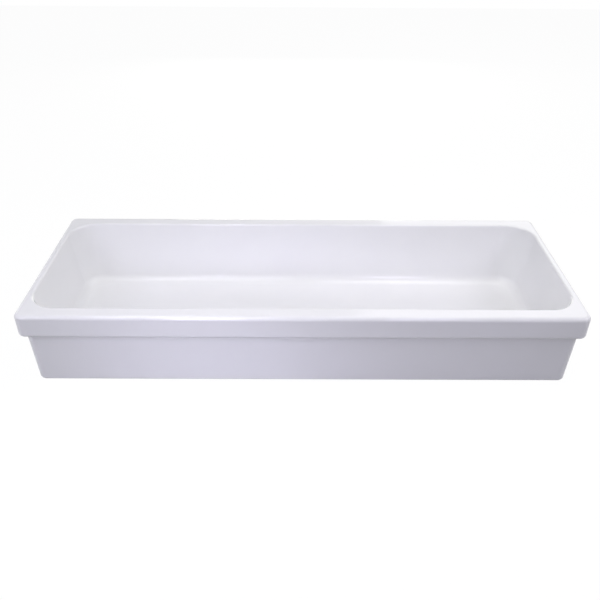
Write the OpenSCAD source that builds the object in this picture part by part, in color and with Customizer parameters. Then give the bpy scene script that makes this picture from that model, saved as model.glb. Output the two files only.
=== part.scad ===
// Trough sink: a long fireclay trough that stands on a counter, with its waste fitting
// and a plug that is pressed to shut and pressed again to open. Sizes in millimetres.
// The origin is in the middle of the foot's plane, on the axis of the waste. +X runs
// along the trough, -Y faces the user and +Z is up. The plug is drawn open.

/* [Rim] */
// Length of the rim from end to end
rim_length = 1200; // [900:10:1500]
// Width of the rim from front to back
rim_width = 450; // [400:5:540]
// Height of the rim's top above the foot
rim_height = 180; // [150:1:230]
// Depth of the rim's band from its top to its lower edge
rim_band = 55; // [35:1:70]
// Corner radius of the rim seen from above
rim_corner_r = 18; // [14:1:35]
// Radius of the rim's upper outer edge
rim_top_r = 9; // [4:0.5:12]
// Radius of the rim's lower edge
rim_low_r = 9; // [4:0.5:9]
// Width of the rim between the bowl and each end
rim_end_width = 17; // [15:0.5:30]
// Width of the rim between the bowl and the front or back
rim_side_width = 36; // [28:0.5:50]

/* [Apron] */
// How far the apron stands back from the rim's band
apron_inset = 11.5; // [11:0.5:16]
// How far each side of the apron draws in between the band and the foot
apron_taper = 3.5; // [0:0.5:8]
// Corner radius of the apron seen from above
apron_corner_r = 18; // [10:1:30]
// Radius of the hollow between the apron and the band
apron_cove_r = 2; // [1:0.5:2]
// Radius of the apron's lower edge
foot_edge_r = 6; // [2:0.5:8]
// Thickness of the apron's wall where the underside is hollow
apron_wall = 14; // [11:0.5:20]

/* [Bowl] */
// Corner radius of the bowl's mouth seen from above
bowl_corner_r = 60; // [45:1:80]
// How much the bowl's corner radius shrinks for each millimetre that its walls draw in
bowl_corner_shrink = 0.35; // [0:0.05:0.6]
// Radius of the edge between the rim and the bowl
bowl_edge_r = 5; // [2:0.5:8]
// Angle of the bowl's walls from upright
bowl_draft = 8.75; // [4:0.25:12]
// Radius between the bowl's walls and its floor
bowl_fillet_r = 25; // [15:1:40]
// Height of the bowl's floor beside the waste above the foot
floor_z = 20; // [18:0.5:26]
// Fall of the floor from its edge to the waste
floor_fall = 5; // [2:0.5:10]
// Thickness of the floor and of the bowl's walls where the underside is hollow
shell_wall = 12; // [9:0.5:14]
// Half width of the level pad round the waste
pad_half = 42; // [38:1:55]

/* [Underside] */
// Height of the hollow between the apron and the bowl above the foot
hollow_top_z = 110; // [60:1:115]
// Thickness of each cross web under the floor
web_t = 14; // [8:1:20]
// Distance of each cross web from the middle
web_x = 270; // [120:5:380]
// Height of the boss's face round the waste above the foot
boss_z = 4; // [2:0.5:6]
// Radius of the boss round the waste
boss_r = 40; // [34:1:50]

/* [Waste] */
// Diameter of the hole for the waste
waste_hole_d = 46; // [44:0.5:48]
// Depth of the seat for the waste's flange
seat_depth = 3.5; // [3:0.25:4.5]
// Gap round the flange in its seat
seat_gap = 1.5; // [0.5:0.25:3]
// Diameter of the waste's flange
flange_d = 64; // [60:1:68]
// Thickness of the flange at its outer edge
flange_edge_t = 1.3; // [0.8:0.1:1.8]
// Thickness of the flange at its crest
flange_t = 2.2; // [1.9:0.1:3]
// Distance of the crest from the flange's outer edge
flange_crest = 3; // [2:0.5:4]
// Fall of the flange's dish from its crest to the mouth of the bore
dish_fall = 0.8; // [0.2:0.1:1]
// Width of the bore's bevelled mouth
mouth_w = 2; // [1:0.1:2.2]
// Depth of the bore's bevelled mouth
mouth_depth = 3; // [2:0.25:5]
// Thickness of the seal under the flange
flange_seal_t = 1.5; // [1:0.1:2.5]
// Outside diameter of the seal under the flange
flange_seal_d = 62; // [56:0.5:62]
// Outside diameter of the barrel over its thread
barrel_d = 41.9; // [40:0.1:42.5]
// Thickness of the barrel's wall over its thread
barrel_wall = 3; // [2.2:0.1:4]
// Length of the barrel under the flange
barrel_length = 60; // [56:1:70]
// Length of thread on the barrel
thread_length = 40; // [36:1:44]
// Pitch of the barrel's thread
thread_pitch = 2.309; // [1.5:0.001:3]
// Depth of the barrel's thread
thread_depth = 1.2; // [0.6:0.1:1.4]
// Share of the pitch that is crest between two grooves
thread_crest = 0.3; // [0.1:0.05:0.5]
// Height of the spider across the barrel
spider_h = 6; // [4:0.5:8]
// Thickness of each arm of the spider
spider_arm_t = 2.5; // [1.5:0.1:4]
// Radius of the spider's hub
spider_hub_r = 7; // [6:0.5:8]

/* [Clamping under the basin] */
// Outside diameter of the cone washer and the slip washer
washer_d = 60; // [54:1:64]
// Thickness of the cone washer
cone_washer_t = 5; // [4:0.5:8]
// Height of the cone washer's lip inside the waste's hole
cone_lip_h = 4; // [2:0.5:6]
// Thickness of the slip washer
slip_washer_t = 1.5; // [1:0.25:3]
// Width of the lock nut across its flats
lock_nut_af = 52; // [48:1:58]
// Thickness of the lock nut
lock_nut_t = 9; // [7:0.5:12]

/* [Tail] */
// Outside diameter of the tail tube
tail_d = 32; // [30:0.25:34]
// Thickness of the tail tube's wall
tail_wall = 1.2; // [0.8:0.1:2]
// Length of the tail tube with its collar
tail_length = 110; // [80:5:150]
// Thickness of the tail tube's collar
tail_collar_t = 2; // [1.5:0.25:3]
// Thickness of the seal between the barrel and the tail tube
tail_seal_t = 2; // [1:0.25:3]
// Width of the tail nut across its flats
tail_nut_af = 48; // [46:1:56]
// Length of barrel thread that the tail nut covers
tail_nut_grip = 10; // [6:0.5:12]
// Thickness of the tail nut's lower lip
tail_nut_lip = 3; // [2:0.5:5]

/* [Click cartridge] */
// Outside diameter of the cartridge's housing
housing_d = 15; // [14.5:0.25:16]
// Thickness of the housing's wall
housing_wall = 1.3; // [0.9:0.1:1.5]
// Length of the housing above the spider
housing_length = 34; // [32:0.5:36]
// Thickness of the housing's floor
housing_floor_t = 2; // [1.5:0.25:3]
// Width of the housing across its two flats
housing_flats = 13.8; // [13.8:0.1:14.4]
// Height of the two flats
housing_flats_h = 8; // [5:0.5:14]
// Diameter of the threaded stud under the housing
stud_d = 8; // [6:0.5:8.5]
// How far the stud stands out under the spider
stud_out = 1.5; // [0.5:0.25:4]
// Depth of the housing's cap inside the housing
cap_depth = 4; // [3:0.25:5]
// Thickness of the cap's flange on top of the housing
cap_flange_t = 1.5; // [1:0.25:2]
// Diameter of the plunger's stem
stem_d = 8; // [7:0.25:8.5]
// Thickness of the plunger's collar
collar_t = 3; // [2:0.25:4]
// Diameter of the pin under the collar that carries the index rotor
pin_d = 4; // [3:0.25:5]
// Length of that pin
pin_length = 8; // [7:0.25:9]
// Diameter of the thread on top of the plunger
plunger_thread_d = 6; // [5:0.25:6.5]
// Height of the index rotor
rotor_h = 5; // [4:0.25:6]
// Diameter of the index rotor without its fins
rotor_d = 9.8; // [9:0.1:10.2]
// Number of fins on the index rotor
rotor_fins = 4; // [3:1:6]
// Thickness of each fin
rotor_fin_t = 1.4; // [0.8:0.1:2]
// Diameter of the return spring's wire
spring_wire_d = 0.9; // [0.6:0.05:1]
// Mean diameter of the return spring's coils
spring_coil_d = 9.2; // [8.8:0.1:9.6]
// Number of turns in the return spring
spring_turns = 8; // [6:1:9]

/* [Plug] */
// Travel of the plug from open to shut
plug_travel = 7; // [5:0.5:8]
// Diameter of the plug's cap
plug_d = 48; // [46:0.5:50]
// Thickness of the cap at its edge
plug_edge_t = 1.4; // [1:0.1:2]
// Rise of the cap's dome from its edge to its crown
plug_dome_h = 2; // [1:0.1:4]
// Thickness of the plug's seal
plug_seal_t = 2.2; // [1.5:0.1:3]
// Thickness of the plug's carrier at its edge
carrier_t = 3.2; // [2.5:0.1:3.6]
// Depth of the carrier's hub under its disc
carrier_hub_t = 1.5; // [1:0.25:3]
// Diameter of the plug's carrier
carrier_d = 37; // [35:0.5:38]
// Diameter of the carrier's hub
carrier_hub_d = 13; // [11:0.5:15]
// Width of the plug's seal from the carrier to its outer edge
plug_seal_w = 3.8; // [3:0.1:4]
// Width of the height nut across its flats
height_nut_af = 10; // [9:0.5:12]
// Thickness of the height nut
height_nut_t = 3.2; // [2.5:0.1:3.5]

/* [Clearances] */
// Radial gap between a thread's crest and the nut or socket on it
thread_gap = 0.05; // [0.02:0.01:0.1]
// Radial gap of a stem or pin that slides or turns in its hole
running_gap = 0.06; // [0.02:0.01:0.1]
// Gap between moving pieces that pass or face each other
moving_gap = 0.3; // [0.2:0.05:0.5]
// Gap round the tail's collar and seal inside the tail nut, and inside that seal
tail_gap = 0.4; // [0.2:0.1:0.6]
// Gap between the tail tube and the hole of the tail nut, so that a trap's nut slides up to it
tail_nut_gap = 1; // [0.8:0.1:1.5]

/* [Hidden] */

// Steps in the curves of the basin and of the spring
corner_steps = 12;
edge_steps = 6;
fillet_steps = 8;
cove_steps = 3;
dome_steps = 10;
wire_sides = 8;
wire_rings = 16;
// Facets of the small turned pieces where they are drawn as facets
$fn = 96;
// How far a cutting shape runs past the face it cuts
past = 1;

// Half sizes of the rim, the apron and the bowl's mouth
rim_hx = rim_length / 2;
rim_hy = rim_width / 2;
apron_hx = rim_hx - apron_inset;
apron_hy = rim_hy - apron_inset;
foot_hx = apron_hx - apron_taper;
foot_hy = apron_hy - apron_taper;
bowl_hx = rim_hx - rim_end_width;
bowl_hy = rim_hy - rim_side_width;
band_z = rim_height - rim_band;

// The bowl's fillet: height and draw-in of its centre, measured from the bowl's mouth
floor_edge_z = floor_z + floor_fall;
fillet_z = floor_edge_z + bowl_fillet_r;
fillet_in = (rim_height - fillet_z) * tan(bowl_draft) + bowl_fillet_r / cos(bowl_draft);
// The bowl's edge: height of its centre, and how far it lies outside the bowl's mouth
edge_z = rim_height - bowl_edge_r;
edge_in = bowl_edge_r * tan(bowl_draft) - bowl_edge_r / cos(bowl_draft);
// The level pad round the waste
pad_corner_r = 0.8 * pad_half;
// Half length of the hollow underside, and half width to the apron's inner face
hollow_hx = bowl_hx - fillet_in;
hollow_hy = foot_hy - apron_wall;

// Heights and radii of the waste fitting
seat_z = floor_z - seat_depth;
seat_r = flange_d / 2 + seat_gap;
flange_r = flange_d / 2;
flange_z = seat_z + flange_seal_t;
crest_z = flange_z + flange_t;
barrel_r = barrel_d / 2;
bore_r = barrel_r - barrel_wall;
barrel_z = flange_z - barrel_length;
dish_r = flange_r - flange_crest;
mouth_r = bore_r + mouth_w;
mouth_z = crest_z - dish_fall;
nut_bore_r = barrel_r + thread_gap;

// Heights of the pieces clamped under the basin, from the boss down
cone_washer_z = boss_z - cone_washer_t;
slip_washer_z = cone_washer_z - slip_washer_t;
lock_nut_z = slip_washer_z - lock_nut_t;

// Heights and radii of the tail, from the barrel's end down
tail_r = tail_d / 2;
tail_collar_r = nut_bore_r - tail_gap;
tail_seal_z = barrel_z - tail_seal_t;
tail_collar_z = tail_seal_z - tail_collar_t;
tail_end_z = tail_seal_z - tail_length;
tail_nut_z = tail_collar_z - tail_nut_lip;
tail_nut_top_z = barrel_z + tail_nut_grip;
tail_nut_h = tail_nut_top_z - tail_nut_z;

// Heights of the plug when it is shut, from its seal up and down
plug_seal_z = mouth_z + moving_gap;
plug_under_z = plug_seal_z + plug_seal_t;
carrier_z = plug_under_z - carrier_t;
carrier_hub_z = carrier_z - carrier_hub_t;
height_nut_z = carrier_hub_z - height_nut_t;
plug_r = plug_d / 2;
// Top of the plunger's thread inside the carrier
plunger_top_z = plug_under_z - carrier_t / 3;

// Heights of the cartridge, from under the height nut down
cap_top_z = height_nut_z - moving_gap;
housing_top_z = cap_top_z - cap_flange_t;
cap_low_z = housing_top_z - cap_depth;
spider_top_z = housing_top_z - housing_length;
spider_z = spider_top_z - spider_h;
housing_r = housing_d / 2;
housing_bore_r = housing_r - housing_wall;
housing_floor_z = spider_top_z + housing_floor_t;
stem_r = stem_d / 2;
stud_r = stud_d / 2;
pin_r = pin_d / 2;
plunger_thread_r = plunger_thread_d / 2;
collar_r = housing_bore_r - moving_gap;
// The shut plunger's collar, and the index rotor under it
collar_top_z = cap_low_z - plug_travel;
collar_z = collar_top_z - collar_t;
rotor_top_z = collar_z - moving_gap;
rotor_z = rotor_top_z - rotor_h;
// The open spring fills the room between the housing's floor and the rotor
spring_end_z = rotor_z + plug_travel;
spring_height = spring_end_z - housing_floor_z;

china = [0.95, 0.95, 0.97];
chrome = [0.80, 0.81, 0.83];
brass = [0.80, 0.66, 0.36];
steel = [0.68, 0.69, 0.71];
black_rubber = [0.10, 0.10, 0.11];
clear_silicone = [0.86, 0.87, 0.86];
white_plastic = [0.93, 0.93, 0.91];
grey_plastic = [0.45, 0.46, 0.48];

// ---- Skins over rings of points ----

// Rounded rectangle for a level [half length, half width, corner radius, height]
function level_ring(l) = [
    for (q = [0:3])
        for (i = [0:corner_steps])
            let (
                a = 90 * (q + i / corner_steps),
                sx = q == 0 || q == 3 ? 1 : -1,
                sy = q < 2 ? 1 : -1
            )
                [sx * (l[0] - l[2]) + l[2] * cos(a), sy * (l[1] - l[2]) + l[2] * sin(a), l[3]]
];

// Closed skin over a list of rings with as many points each, and a flat cap at each end
module skin(rings) {
    n = len(rings[0]);
    last = (len(rings) - 1) * n;
    polyhedron(
        points = [for (ring = rings) each ring],
        faces = concat(
            [[for (i = [n - 1:-1:0]) i]],
            [
                for (a = [0:n:last - n])
                    for (i = [0:n - 1])
                        let (j = (i + 1) % n, b = a + n)
                            each [[a + i, b + j, b + i], [a + i, a + j, b + j]]
            ],
            [[for (i = [0:n - 1]) last + i]]
        ),
        convexity = 20
    );
}

// ---- Basin ----

// Level of the bowl, drawn in from its mouth
function bowl_level(inward, z) =
    [bowl_hx - inward, bowl_hy - inward, bowl_corner_r - bowl_corner_shrink * inward, z];

// Level of the rim, drawn in from its outline
function rim_level(inward, z) = [rim_hx - inward, rim_hy - inward, rim_corner_r - inward, z];

// The bowl from its pad to the rim's top
function bowl_levels() = concat(
    [[pad_half, pad_half, pad_corner_r, floor_z]],
    [
        for (i = [fillet_steps:-1:0])
            let (a = 180 + bowl_draft + (90 - bowl_draft) * i / fillet_steps)
                bowl_level(
                    fillet_in + bowl_fillet_r * cos(a),
                    fillet_z + bowl_fillet_r * sin(a)
                )
    ],
    [
        for (i = [0:edge_steps])
            let (a = bowl_draft + (90 - bowl_draft) * i / edge_steps)
                bowl_level(edge_in + bowl_edge_r * cos(a), edge_z + bowl_edge_r * sin(a))
    ]
);

// The rim's band from its upper edge to its underside
function band_levels() = concat(
    [
        for (i = [0:edge_steps])
            let (a = 90 * (1 - i / edge_steps))
                rim_level(rim_top_r * (1 - cos(a)), rim_height - rim_top_r * (1 - sin(a)))
    ],
    [
        for (i = [0:edge_steps])
            let (a = 90 * i / edge_steps)
                rim_level(rim_low_r * (1 - cos(a)), band_z + rim_low_r * (1 - sin(a)))
    ]
);

// The apron from its cove to the foot
function apron_levels() = concat(
    [
        for (i = [0:cove_steps])
            let (a = 90 * i / cove_steps, out = apron_cove_r * (1 - sin(a)))
                [
                    apron_hx + out,
                    apron_hy + out,
                    apron_corner_r + out,
                    band_z - apron_cove_r * (1 - cos(a))
                ]
    ],
    [
        for (i = [0:edge_steps])
            let (a = 90 * i / edge_steps, inward = foot_edge_r * (1 - cos(a)))
                [
                    foot_hx - inward,
                    foot_hy - inward,
                    apron_corner_r - inward,
                    foot_edge_r * (1 - sin(a))
                ]
    ]
);

// Half outline of the bowl with its shell, in the plane across the trough
function shell_outline() = concat(
    [[0, floor_z - shell_wall], [pad_half, floor_z - shell_wall]],
    [
        for (i = [fillet_steps:-1:0])
            let (
                a = 180 + bowl_draft + (90 - bowl_draft) * i / fillet_steps,
                r = bowl_fillet_r + shell_wall
            )
                [bowl_hy - fillet_in - r * cos(a), fillet_z + r * sin(a)]
    ],
    [[bowl_hy + shell_wall / cos(bowl_draft), rim_height], [0, rim_height]]
);

// The open hollow under the floor, which also rises between the bowl and the apron
module hollow() {
    difference() {
        rotate([90, 0, 90])
            linear_extrude(height = 2 * hollow_hx, center = true)
                difference() {
                    translate([-hollow_hy, -past])
                        square([2 * hollow_hy, hollow_top_z + past]);
                    polygon(shell_outline());
                    mirror([1, 0]) polygon(shell_outline());
                }
        for (side = [-1, 1])
            translate([side * web_x - web_t / 2, -rim_hy, -2 * past])
                cube([web_t, rim_width, rim_height]);
        translate([0, 0, boss_z]) cylinder(r = boss_r, h = floor_z);
    }
}

module basin() {
    color(china)
        difference() {
            skin([
                for (l = concat(bowl_levels(), band_levels(), apron_levels()))
                    level_ring(l)
            ]);
            hollow();
            translate([0, 0, seat_z]) cylinder(r = seat_r, h = seat_depth + past);
            translate([0, 0, -past]) cylinder(d = waste_hole_d, h = floor_z + past);
        }
}

// ---- Waste ----

// Grooves of a thread as a zigzag from the barrel's end upwards
function thread_zigzag() = [
    for (i = [0:floor(thread_length / thread_pitch) - 1])
        let (
            middle = barrel_z + (i + 0.5) * thread_pitch,
            half_groove = thread_pitch * (1 - thread_crest) / 2
        )
            each [
                [barrel_r, middle - half_groove],
                [barrel_r - thread_depth, middle],
                [barrel_r, middle + half_groove]
            ]
];

// Six-sided nut across flats af, with its corners turned off and a plain bore
module hex_nut(af, h, r) {
    corner_r = af / sqrt(3);
    bevel = corner_r - af / 2;
    difference() {
        intersection() {
            cylinder(r = corner_r, h = h, $fn = 6);
            rotate_extrude()
                polygon([
                    [0, 0],
                    [af / 2, 0],
                    [corner_r, bevel / 2],
                    [corner_r, h - bevel / 2],
                    [af / 2, h],
                    [0, h]
                ]);
        }
        translate([0, 0, -past]) cylinder(r = r, h = h + 2 * past);
    }
}

// Flat ring
module flat_ring(r_in, r_out, h) {
    difference() {
        cylinder(r = r_out, h = h);
        translate([0, 0, -past]) cylinder(r = r_in, h = h + 2 * past);
    }
}

module waste_body() {
    color(chrome)
        difference() {
            union() {
                rotate_extrude()
                    polygon(concat(
                        [[bore_r, barrel_z], [barrel_r, barrel_z]],
                        thread_zigzag(),
                        [
                            [barrel_r, flange_z],
                            [flange_r, flange_z],
                            [flange_r, flange_z + flange_edge_t],
                            [dish_r, crest_z],
                            [mouth_r, mouth_z],
                            [bore_r, mouth_z - mouth_depth]
                        ]
                    ));
                translate([0, 0, spider_z]) {
                    cylinder(r = spider_hub_r, h = spider_h);
                    for (a = [0, 90])
                        rotate(a)
                            translate([-bore_r - barrel_wall / 4, -spider_arm_t / 2, 0])
                                cube([2 * bore_r + barrel_wall / 2, spider_arm_t, spider_h]);
                }
            }
            translate([0, 0, spider_z - past])
                cylinder(r = stud_r + thread_gap, h = spider_h + 2 * past);
        }
}

module flange_seal() {
    color(black_rubber)
        translate([0, 0, seat_z])
            flat_ring(nut_bore_r, flange_seal_d / 2, flange_seal_t);
}

module cone_washer() {
    color(black_rubber)
        rotate_extrude()
            polygon([
                [nut_bore_r, cone_washer_z],
                [washer_d / 2, cone_washer_z],
                [washer_d / 2, boss_z],
                [waste_hole_d / 2 - thread_gap, boss_z],
                [(nut_bore_r + waste_hole_d / 2) / 2, boss_z + cone_lip_h],
                [nut_bore_r, boss_z + cone_lip_h]
            ]);
}

module slip_washer() {
    color(white_plastic)
        translate([0, 0, slip_washer_z])
            flat_ring(nut_bore_r, washer_d / 2, slip_washer_t);
}

module lock_nut() {
    color(brass)
        translate([0, 0, lock_nut_z]) hex_nut(lock_nut_af, lock_nut_t, nut_bore_r);
}

// ---- Tail ----

module tail_tube() {
    color(chrome)
        difference() {
            union() {
                translate([0, 0, tail_end_z]) cylinder(r = tail_r, h = tail_length);
                translate([0, 0, tail_collar_z]) cylinder(r = tail_collar_r, h = tail_collar_t);
            }
            translate([0, 0, tail_end_z - past])
                cylinder(r = tail_r - tail_wall, h = tail_length + 2 * past);
        }
}

module tail_nut() {
    color(chrome)
        difference() {
            translate([0, 0, tail_nut_z]) hex_nut(tail_nut_af, tail_nut_h, tail_r + tail_nut_gap);
            translate([0, 0, tail_collar_z]) cylinder(r = nut_bore_r, h = tail_nut_h);
        }
}

module tail_seal() {
    color(black_rubber)
        translate([0, 0, tail_seal_z])
            flat_ring(tail_r - tail_wall + tail_gap, tail_collar_r, tail_seal_t);
}

// ---- Click cartridge ----

module click_housing() {
    color(white_plastic)
        difference() {
            union() {
                translate([0, 0, spider_top_z]) cylinder(r = housing_r, h = housing_length);
                translate([0, 0, spider_z - stud_out])
                    cylinder(r = stud_r, h = spider_h + stud_out + past);
            }
            translate([0, 0, housing_floor_z])
                cylinder(r = housing_bore_r, h = housing_length);
            for (side = [-1, 1])
                translate([
                    side * (housing_flats + housing_d) / 2,
                    0,
                    spider_top_z + housing_flats_h / 2
                ])
                    cube([housing_d, housing_d, housing_flats_h], center = true);
        }
}

module click_cap() {
    color(grey_plastic)
        rotate_extrude()
            polygon([
                [stem_r + running_gap, cap_low_z],
                [housing_bore_r - thread_gap, cap_low_z],
                [housing_bore_r - thread_gap, housing_top_z],
                [housing_r, housing_top_z],
                [housing_r, cap_top_z],
                [stem_r + running_gap, cap_top_z]
            ]);
}

// Lifts a piece of the plug from its shut place to its open one
module opened() {
    translate([0, 0, plug_travel]) children();
}

module plunger() {
    color(steel)
        opened() {
            translate([0, 0, collar_z]) cylinder(r = collar_r, h = collar_t);
            translate([0, 0, collar_z]) cylinder(r = stem_r, h = height_nut_z - collar_z);
            translate([0, 0, collar_z - pin_length])
                cylinder(r = pin_r, h = pin_length + past);
            translate([0, 0, collar_z])
                cylinder(r = plunger_thread_r, h = plunger_top_z - collar_z);
        }
}

module index_rotor() {
    color(grey_plastic)
        opened()
            translate([0, 0, rotor_z])
                difference() {
                    union() {
                        cylinder(d = rotor_d, h = rotor_h);
                        for (i = [0:rotor_fins - 1])
                            rotate(360 * i / rotor_fins)
                                intersection() {
                                    translate([0, -rotor_fin_t / 2, 0])
                                        cube([collar_r, rotor_fin_t, rotor_h]);
                                    cylinder(r = collar_r, h = rotor_h);
                                }
                    }
                    translate([0, 0, -past])
                        cylinder(r = pin_r + running_gap, h = rotor_h + 2 * past);
                }
}

// Height of the wire's middle at a turn: the first and last turns lie close, the rest evenly
function spring_z(turn) =
    let (
        close = spring_wire_d + moving_gap,
        open_turns = spring_turns - 2,
        open_pitch = (spring_height - spring_wire_d - 2 * close) / open_turns
    )
    turn < 1 ? close * turn
    : turn < spring_turns - 1 ? close + open_pitch * (turn - 1)
    : close + open_pitch * open_turns + close * (turn - spring_turns + 1);

module return_spring() {
    wire_r = spring_wire_d / 2;
    color(steel)
        skin([
            for (k = [0:spring_turns * wire_rings])
                let (turn = k / wire_rings, z = housing_floor_z + wire_r + spring_z(turn))
                    [
                        for (i = [0:wire_sides - 1])
                            let (b = 360 * i / wire_sides, r = spring_coil_d / 2 + wire_r * cos(b))
                                [r * cos(360 * turn), r * sin(360 * turn), z + wire_r * sin(b)]
                    ]
        ]);
}

// ---- Plug ----

// Domed disc whose edge is rounded over
module plug_cap() {
    color(chrome)
        opened()
            rotate_extrude()
                polygon(concat(
                    [[0, plug_under_z], [plug_r, plug_under_z]],
                    [
                        for (i = [0:dome_steps])
                            let (a = 90 * i / dome_steps)
                                [
                                    plug_r * (i == dome_steps ? 0 : cos(a)),
                                    plug_under_z + plug_edge_t + plug_dome_h * sin(a)
                                ]
                    ]
                ));
}

module plug_carrier() {
    color(white_plastic)
        opened()
            difference() {
                union() {
                    translate([0, 0, carrier_z]) cylinder(d = carrier_d, h = carrier_t);
                    translate([0, 0, carrier_hub_z])
                        cylinder(d = carrier_hub_d, h = plug_under_z - carrier_hub_z);
                }
                translate([0, 0, carrier_hub_z - past])
                    cylinder(
                        r = plunger_thread_r + thread_gap,
                        h = plunger_top_z + past - carrier_hub_z
                    );
            }
}

// Ring round the carrier, with a bevelled lip that follows the flange's dish
module plug_seal() {
    r_in = carrier_d / 2;
    r_out = r_in + plug_seal_w;
    dish_rise = dish_fall * (r_out - mouth_r) / (dish_r - mouth_r);
    color(clear_silicone)
        opened()
            rotate_extrude()
                polygon([
                    [r_in, plug_seal_z],
                    [mouth_r, plug_seal_z],
                    [r_out, plug_seal_z + dish_rise],
                    [r_out, plug_under_z],
                    [r_in, plug_under_z]
                ]);
}

module height_nut() {
    color(brass)
        opened()
            translate([0, 0, height_nut_z])
                hex_nut(height_nut_af, height_nut_t, plunger_thread_r + thread_gap);
}

basin();
waste_body();
flange_seal();
cone_washer();
slip_washer();
lock_nut();
tail_tube();
tail_nut();
tail_seal();
click_housing();
click_cap();
plunger();
index_rotor();
return_spring();
plug_cap();
plug_carrier();
plug_seal();
height_nut();
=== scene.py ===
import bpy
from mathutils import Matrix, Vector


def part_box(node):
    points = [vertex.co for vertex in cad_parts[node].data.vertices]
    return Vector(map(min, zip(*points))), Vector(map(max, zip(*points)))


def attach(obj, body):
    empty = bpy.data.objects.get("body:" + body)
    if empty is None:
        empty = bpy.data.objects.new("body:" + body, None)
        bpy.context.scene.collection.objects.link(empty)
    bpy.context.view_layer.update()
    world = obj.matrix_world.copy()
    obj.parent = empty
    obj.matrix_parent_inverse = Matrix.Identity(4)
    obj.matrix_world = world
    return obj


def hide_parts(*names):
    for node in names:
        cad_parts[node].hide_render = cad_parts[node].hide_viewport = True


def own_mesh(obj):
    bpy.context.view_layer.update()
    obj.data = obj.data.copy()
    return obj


bl_info = {
    "name": "Trough sink",
    "version": (1, 0, 0),
    "blender": (4, 5, 0),
    "location": "3D View > Sidebar > Trough sink",
    "description": "Makes a glazed fireclay trough sink with its press-to-close waste",
    "category": "Add Mesh",
}

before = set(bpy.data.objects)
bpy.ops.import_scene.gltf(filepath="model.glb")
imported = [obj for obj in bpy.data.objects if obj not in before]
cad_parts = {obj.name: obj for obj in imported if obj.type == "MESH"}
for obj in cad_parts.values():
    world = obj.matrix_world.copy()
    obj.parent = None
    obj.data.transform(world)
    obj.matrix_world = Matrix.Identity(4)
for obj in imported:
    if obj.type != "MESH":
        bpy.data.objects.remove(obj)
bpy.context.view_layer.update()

from collections import namedtuple
from math import atan2, ceil, cos, hypot, pi, radians, sin, sqrt, tan

import bmesh
import bpy
from mathutils import Matrix, Vector

MM = 0.001
# Two points closer than this are one
JOIN = 0.001 * MM
# How far a cutting shape runs past the face it cuts
PAST = 2 * MM
# The groove depth that an outline's point holds where there is no thread
NO_GROOVE = -1 * MM
# Edges that turn more than this stay sharp to the eye
SHARP = radians(34)
# Radii of small edges, from a crisp one to a full one
CRISP = 0.15 * MM
KEEN = 0.2 * MM
FINE = 0.25 * MM
BROKEN = 0.3 * MM
SOFT = 0.35 * MM
EASED = 0.4 * MM
ROUNDED = 0.5 * MM
FULL = 0.8 * MM
# Steps round the axis of small, middling and wide turned pieces
SMALL, MIDDLING, WIDE = 72, 96, 120
# Lays a prism along X, and its outline's two coordinates along Y and Z
ALONG_X = Matrix(((0, 0, 1, 0), (1, 0, 0, 0), (0, 1, 0, 0), (0, 0, 0, 1)))


# ---- Sizes and colours ----


def linear(code):
    """An sRGB hex colour as linear red, green and blue, with a full alpha."""
    parts = [int(code[i : i + 2], 16) / 255 for i in (1, 3, 5)]
    return [p / 12.92 if p <= 0.04045 else ((p + 0.055) / 1.055) ** 2.4 for p in parts] + [1]


def darker(colour, share):
    """A share of a colour's brightness."""
    return [share * part for part in colour[:3]] + [1]


def length(name, description, millimetres):
    return bpy.props.FloatProperty(
        name=name,
        description=description,
        default=millimetres * MM,
        min=0,
        unit="LENGTH",
        precision=5,
    )


def slope(name, description, degrees):
    return bpy.props.FloatProperty(
        name=name, description=description, default=radians(degrees), unit="ROTATION"
    )


def amount(name, description, default):
    return bpy.props.FloatProperty(name=name, description=description, default=default)


def how_many(name, description, default):
    return bpy.props.IntProperty(name=name, description=description, default=default, min=1)


def tint(name, description, code):
    return bpy.props.FloatVectorProperty(
        name=name,
        description=description,
        default=linear(code),
        size=4,
        subtype="COLOR",
        min=0,
        max=1,
    )


def span(node):
    """Outer radius, bottom and top of a round node at rest."""
    low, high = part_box(node)
    return high.y, low.z, high.z


BASIN_LOW, BASIN_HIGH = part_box("basin")


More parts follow.
